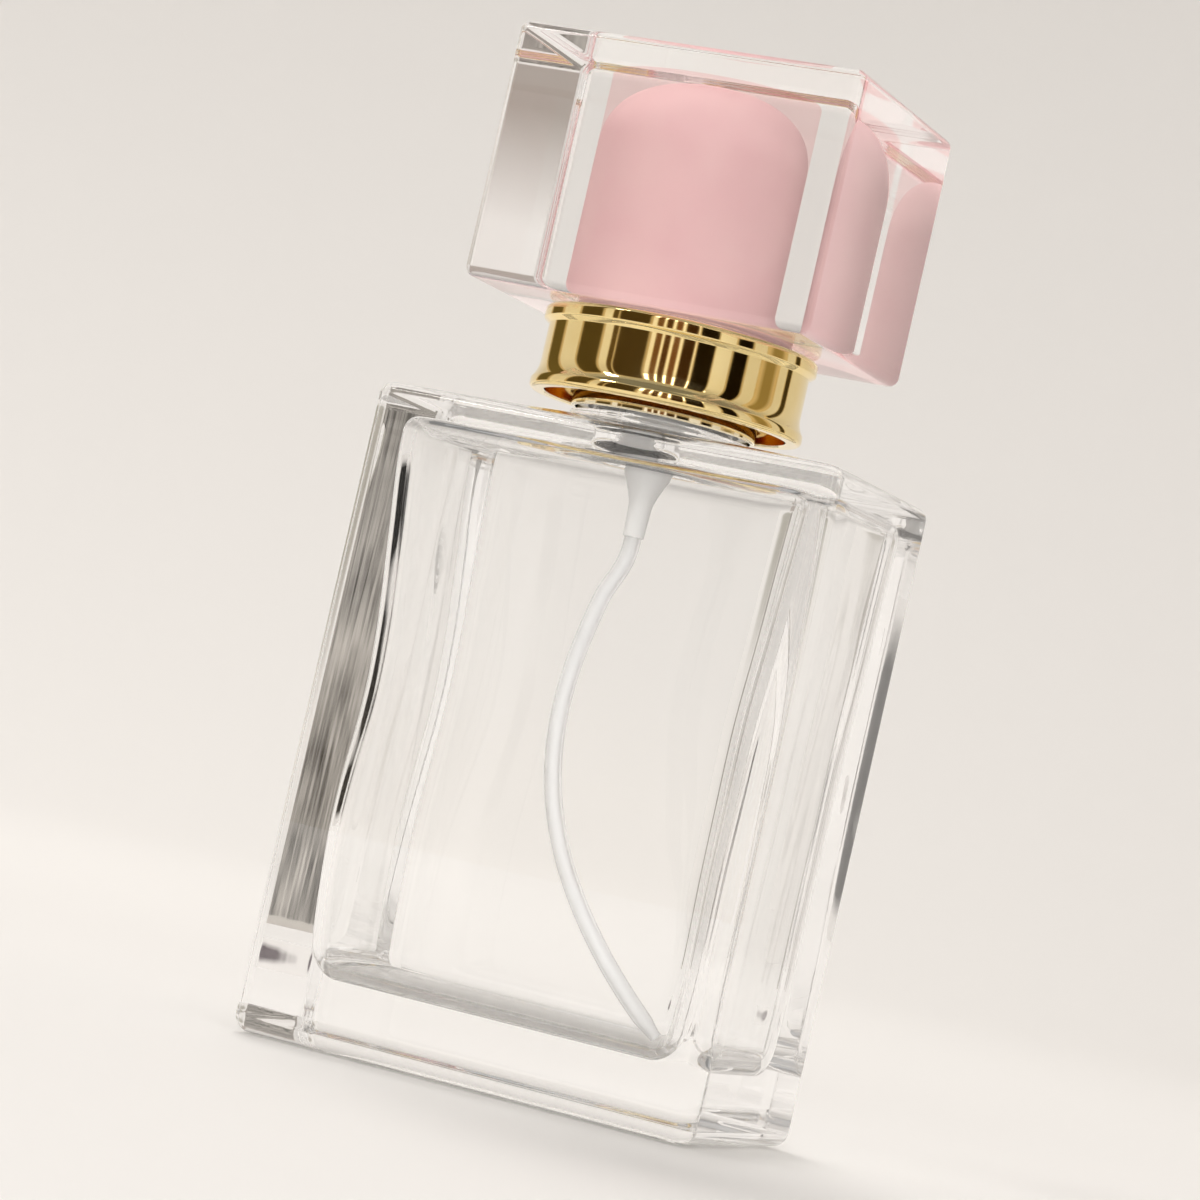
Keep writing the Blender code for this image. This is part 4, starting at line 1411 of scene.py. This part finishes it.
@dataclass(frozen=True)
class Flag:
    """A card out of the picture that puts lines into bright metal or clear edges."""

    sight: Ray
    azimuth: float
    spread: float
    low: float
    high: float
    shade: Colour
    distance: float = 0.5
    pale: Colour = PAPER
    streak: float = 0.0
    fade: float = 0.0
    soft: float = 0.0

    @property
    def half(self) -> float:
        """Half of the card's width."""
        return self.distance * math.tan(math.radians(self.spread / 2))

    def cloth(self, name: str) -> bpy.types.Material:
        """Makes the card's material, which pales at its foot, at soft edges and in streaks.

        Args:
            name: the material's name.

        Returns:
            The material.
        """
        bench = NodeBench(name)
        bench.set(Roughness=0.9, Specular_IOR_Level=0.0)
        cover = bench.rise(self.low, self.low + self.fade)
        if self.soft:
            cover = bench.math("MULTIPLY", cover, bench.rise(self.high, self.high - self.fade))
            for side in (-self.half, self.half):
                cover = bench.math("MULTIPLY", cover, bench.rise(side, side * (1 - self.soft), "X"))
        paleness = bench.math("SUBTRACT", 1.0, cover)
        if self.streak:
            paleness = bench.math("ADD", paleness, bench.noise(self.streak, 3.0, Grain.DRAWN))
        bench.tint(paleness, self.shade, self.pale)
        return bench.material

    def stand(self, name: str) -> None:
        """Adds the card to the scene, upright and facing the bottle.

        Args:
            name: the card's name.
        """
        form = bmesh.new()
        half = self.half
        corners = [(-half, 0, self.low), (half, 0, self.low), (half, 0, self.high), (-half, 0, self.high)]
        form.faces.new([form.verts.new(c) for c in corners])
        mesh = Workshop.meshed(name, form)
        mesh.materials.append(self.cloth(f"{name}_cloth"))
        card = Workshop.placed(name, mesh)
        turn = math.radians(self.azimuth)
        card.location = (self.distance * math.sin(turn), -self.distance * math.cos(turn), 0.0)
        card.rotation_euler = Euler((0.0, 0.0, turn))
        card.visible_camera = False
        card.visible_diffuse = False
        card.visible_shadow = False
        card.visible_glossy = self.sight is Ray.MIRRORED
        card.visible_transmission = self.sight is Ray.REFRACTED


def gold_card(azimuth: float, spread: float, shade: Colour, soft: float = 0.5) -> Flag:
    """Returns a tall card that only mirrored rays see, with warm pale edges."""
    low, high, fade = 0.01, 0.5, 0.07
    return Flag(Ray.MIRRORED, azimuth, spread, low, high, shade, pale=WARM, fade=fade, soft=soft)


@dataclass
class Studio:
    """A pale seamless sweep, soft boxes, dark cards and the camera."""

    sweep_flat: float = 0.5
    sweep_radius: float = 0.95
    sweep_height: float = 1.2
    sweep_drop: float = 0.2 * MM
    sweep_facets: int = 96
    flat_steps: int = 6
    bend_steps: int = 16
    air_colour: Colour = (1.0, 0.98, 0.96)
    air_strength: float = 0.22
    bounces: int = 40
    lens: float = 121.149
    sensor: float = 36.0
    clip: Span = (0.01, 10.0)
    camera_place: tuple[float, float, float] = (0.147755, -0.360521, 0.028448)
    camera_target: tuple[float, float, float] = (-0.001774, -0.001277, 0.04775)
    camera_roll: float = -12.8767
    lamps: tuple[Lamp, ...] = (
        Lamp(
            "window", (-0.3, 0.36, 0.75), (0.0, 0.0, 0.05), (0.3, 0.3), 3.3, DAYLIGHT,
            hidden=(Ray.REFRACTED, Ray.MIRRORED),
        ),
        Lamp(
            "sun", (-0.42, -0.5, 0.62), (0.0, 0.0, 0.05), (0.14, 0.14), 1.1, DAYLIGHT,
            hidden=(Ray.REFRACTED,),
        ),
        Lamp(
            "front", (0.32, -0.77, 0.45), (0.0, 0.0, 0.06), (0.9, 0.5), 4.25,
            hidden=(Ray.REFRACTED,),
        ),
        Lamp("overhead", (0.0, 0.05, 0.9), (0.0, 0.0, 0.0), (0.8, 0.8), 0.5),
    )
    flags: tuple[Flag, ...] = (
        gold_card(-107.0, 26.0, (0.13, 0.1, 0.035)),
        gold_card(-60.0, 27.0, (0.09, 0.065, 0.022), soft=0.35),
        gold_card(-36.0, 6.0, (0.12, 0.08, 0.03)),
        gold_card(-19.0, 31.0, (0.075, 0.05, 0.018), soft=0.3),
        gold_card(3.0, 6.0, (0.2, 0.1, 0.045)),
        gold_card(10.5, 6.0, (0.1, 0.045, 0.016)),
        gold_card(18.5, 6.0, (0.2, 0.09, 0.04)),
        gold_card(29.0, 11.0, (0.05, 0.022, 0.006), soft=0.3),
        gold_card(44.0, 17.0, (0.015, 0.009, 0.003), soft=0.25),
        gold_card(75.0, 17.0, (0.01, 0.006, 0.002), soft=0.4),
        gold_card(108.0, 24.0, (0.3, 0.23, 0.1), soft=0.9),
        gold_card(135.0, 9.0, (0.05, 0.035, 0.012)),
        Flag(
            Ray.REFRACTED, 159.65, 5.0, 0.0, 0.1, (0.025, 0.023, 0.02), distance=0.22,
            pale=(0.58, 0.55, 0.51), streak=1.0 * MM, fade=0.0015, soft=0.3,
        ),
        Flag(
            Ray.REFRACTED, 165.5, 9.0, 0.0, 0.0038, (0.16, 0.135, 0.145), distance=0.1,
            fade=0.0016, soft=0.8,
        ),
        Flag(Ray.REFRACTED, 172.0, 34.0, 0.0, 0.2, (0.45, 0.43, 0.385), fade=0.1, soft=0.7),
        Flag(Ray.REFRACTED, 161.4, 12.0, 0.108, 0.3, (0.4, 0.355, 0.325), distance=0.3, fade=0.05),
        Flag(
            Ray.REFRACTED, -88.0, 58.0, 0.004, 0.052, (0.003, 0.003, 0.003), distance=0.3,
            fade=0.016, soft=0.5,
        ),
    )

    def sweep(self) -> None:
        """Adds the floor and wall as one curved sheet all round."""
        bend = self.sweep_radius - self.sweep_flat
        profile = [(self.sweep_flat * i / self.flat_steps, 0.0) for i in range(self.flat_steps + 1)]
        profile += arc((self.sweep_flat, bend), bend, -90, 0, self.bend_steps)[1:]
        profile.append((self.sweep_radius, self.sweep_height))
        mesh = Workshop.meshed("sweep", Workshop.spun(profile, self.sweep_facets, closed=False))
        mesh.shade_smooth()
        bench = NodeBench("sweep_paper")
        bench.set(Base_Color=(*PAPER, 1.0), Roughness=0.85, Specular_IOR_Level=0.1)
        mesh.materials.append(bench.material)
        sheet = Workshop.placed("sweep", mesh)
        sheet.location.z = -self.sweep_drop

    def air(self) -> None:
        """Sets an even dim light from the room above."""
        world = bpy.data.worlds.new("room")
        world.use_nodes = True
        background = world.node_tree.nodes["Background"]
        NodeBench.fill(background, {"Color": (*self.air_colour, 1.0), "Strength": self.air_strength})
        bpy.context.scene.world = world

    def camera(self) -> None:
        """Adds the camera at the photograph's angle, leaning as it does there."""
        data = bpy.data.cameras.new("camera")
        data.lens = self.lens
        data.sensor_width = self.sensor
        data.clip_start, data.clip_end = self.clip
        camera = Workshop.placed("camera", data)
        run = Vector(self.camera_target) - Vector(self.camera_place)
        aim = run.to_track_quat("-Z", "Y").to_matrix().to_4x4()
        roll = Matrix.Rotation(math.radians(-self.camera_roll), 4, "Z")
        camera.matrix_world = Matrix.Translation(self.camera_place) @ aim @ roll
        bpy.context.scene.camera = camera

    def build(self) -> None:
        """Adds the whole studio."""
        scene = bpy.context.scene
        scene.view_settings.view_transform = "Standard"
        scene.cycles.max_bounces = self.bounces
        scene.cycles.transmission_bounces = self.bounces
        scene.cycles.glossy_bounces = self.bounces
        self.sweep()
        self.air()
        for lamp in self.lamps:
            lamp.light()
        for number, flag in enumerate(self.flags):
            flag.stand(f"card_{number}")
        self.camera()
        LOG.info("studio: %d lamps and %d flags", len(self.lamps), len(self.flags))


def main() -> None:
    """Loads the frame and builds each sub-assembly round it, then the studio."""
    logging.basicConfig(level=logging.INFO, format="%(message)s")
    for old in list(bpy.data.objects):
        bpy.data.objects.remove(old)
    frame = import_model()
    finishes = Finishes()
    wardrobe = Wardrobe(frame["nodes"])
    for part in (GlassBody(), CollarSet(), Pump(), SprayButton(), Overcap()):
        part.build(wardrobe, finishes)
    Studio().build()
    bpy.context.view_layer.update()


if __name__ == "__main__":
    main()
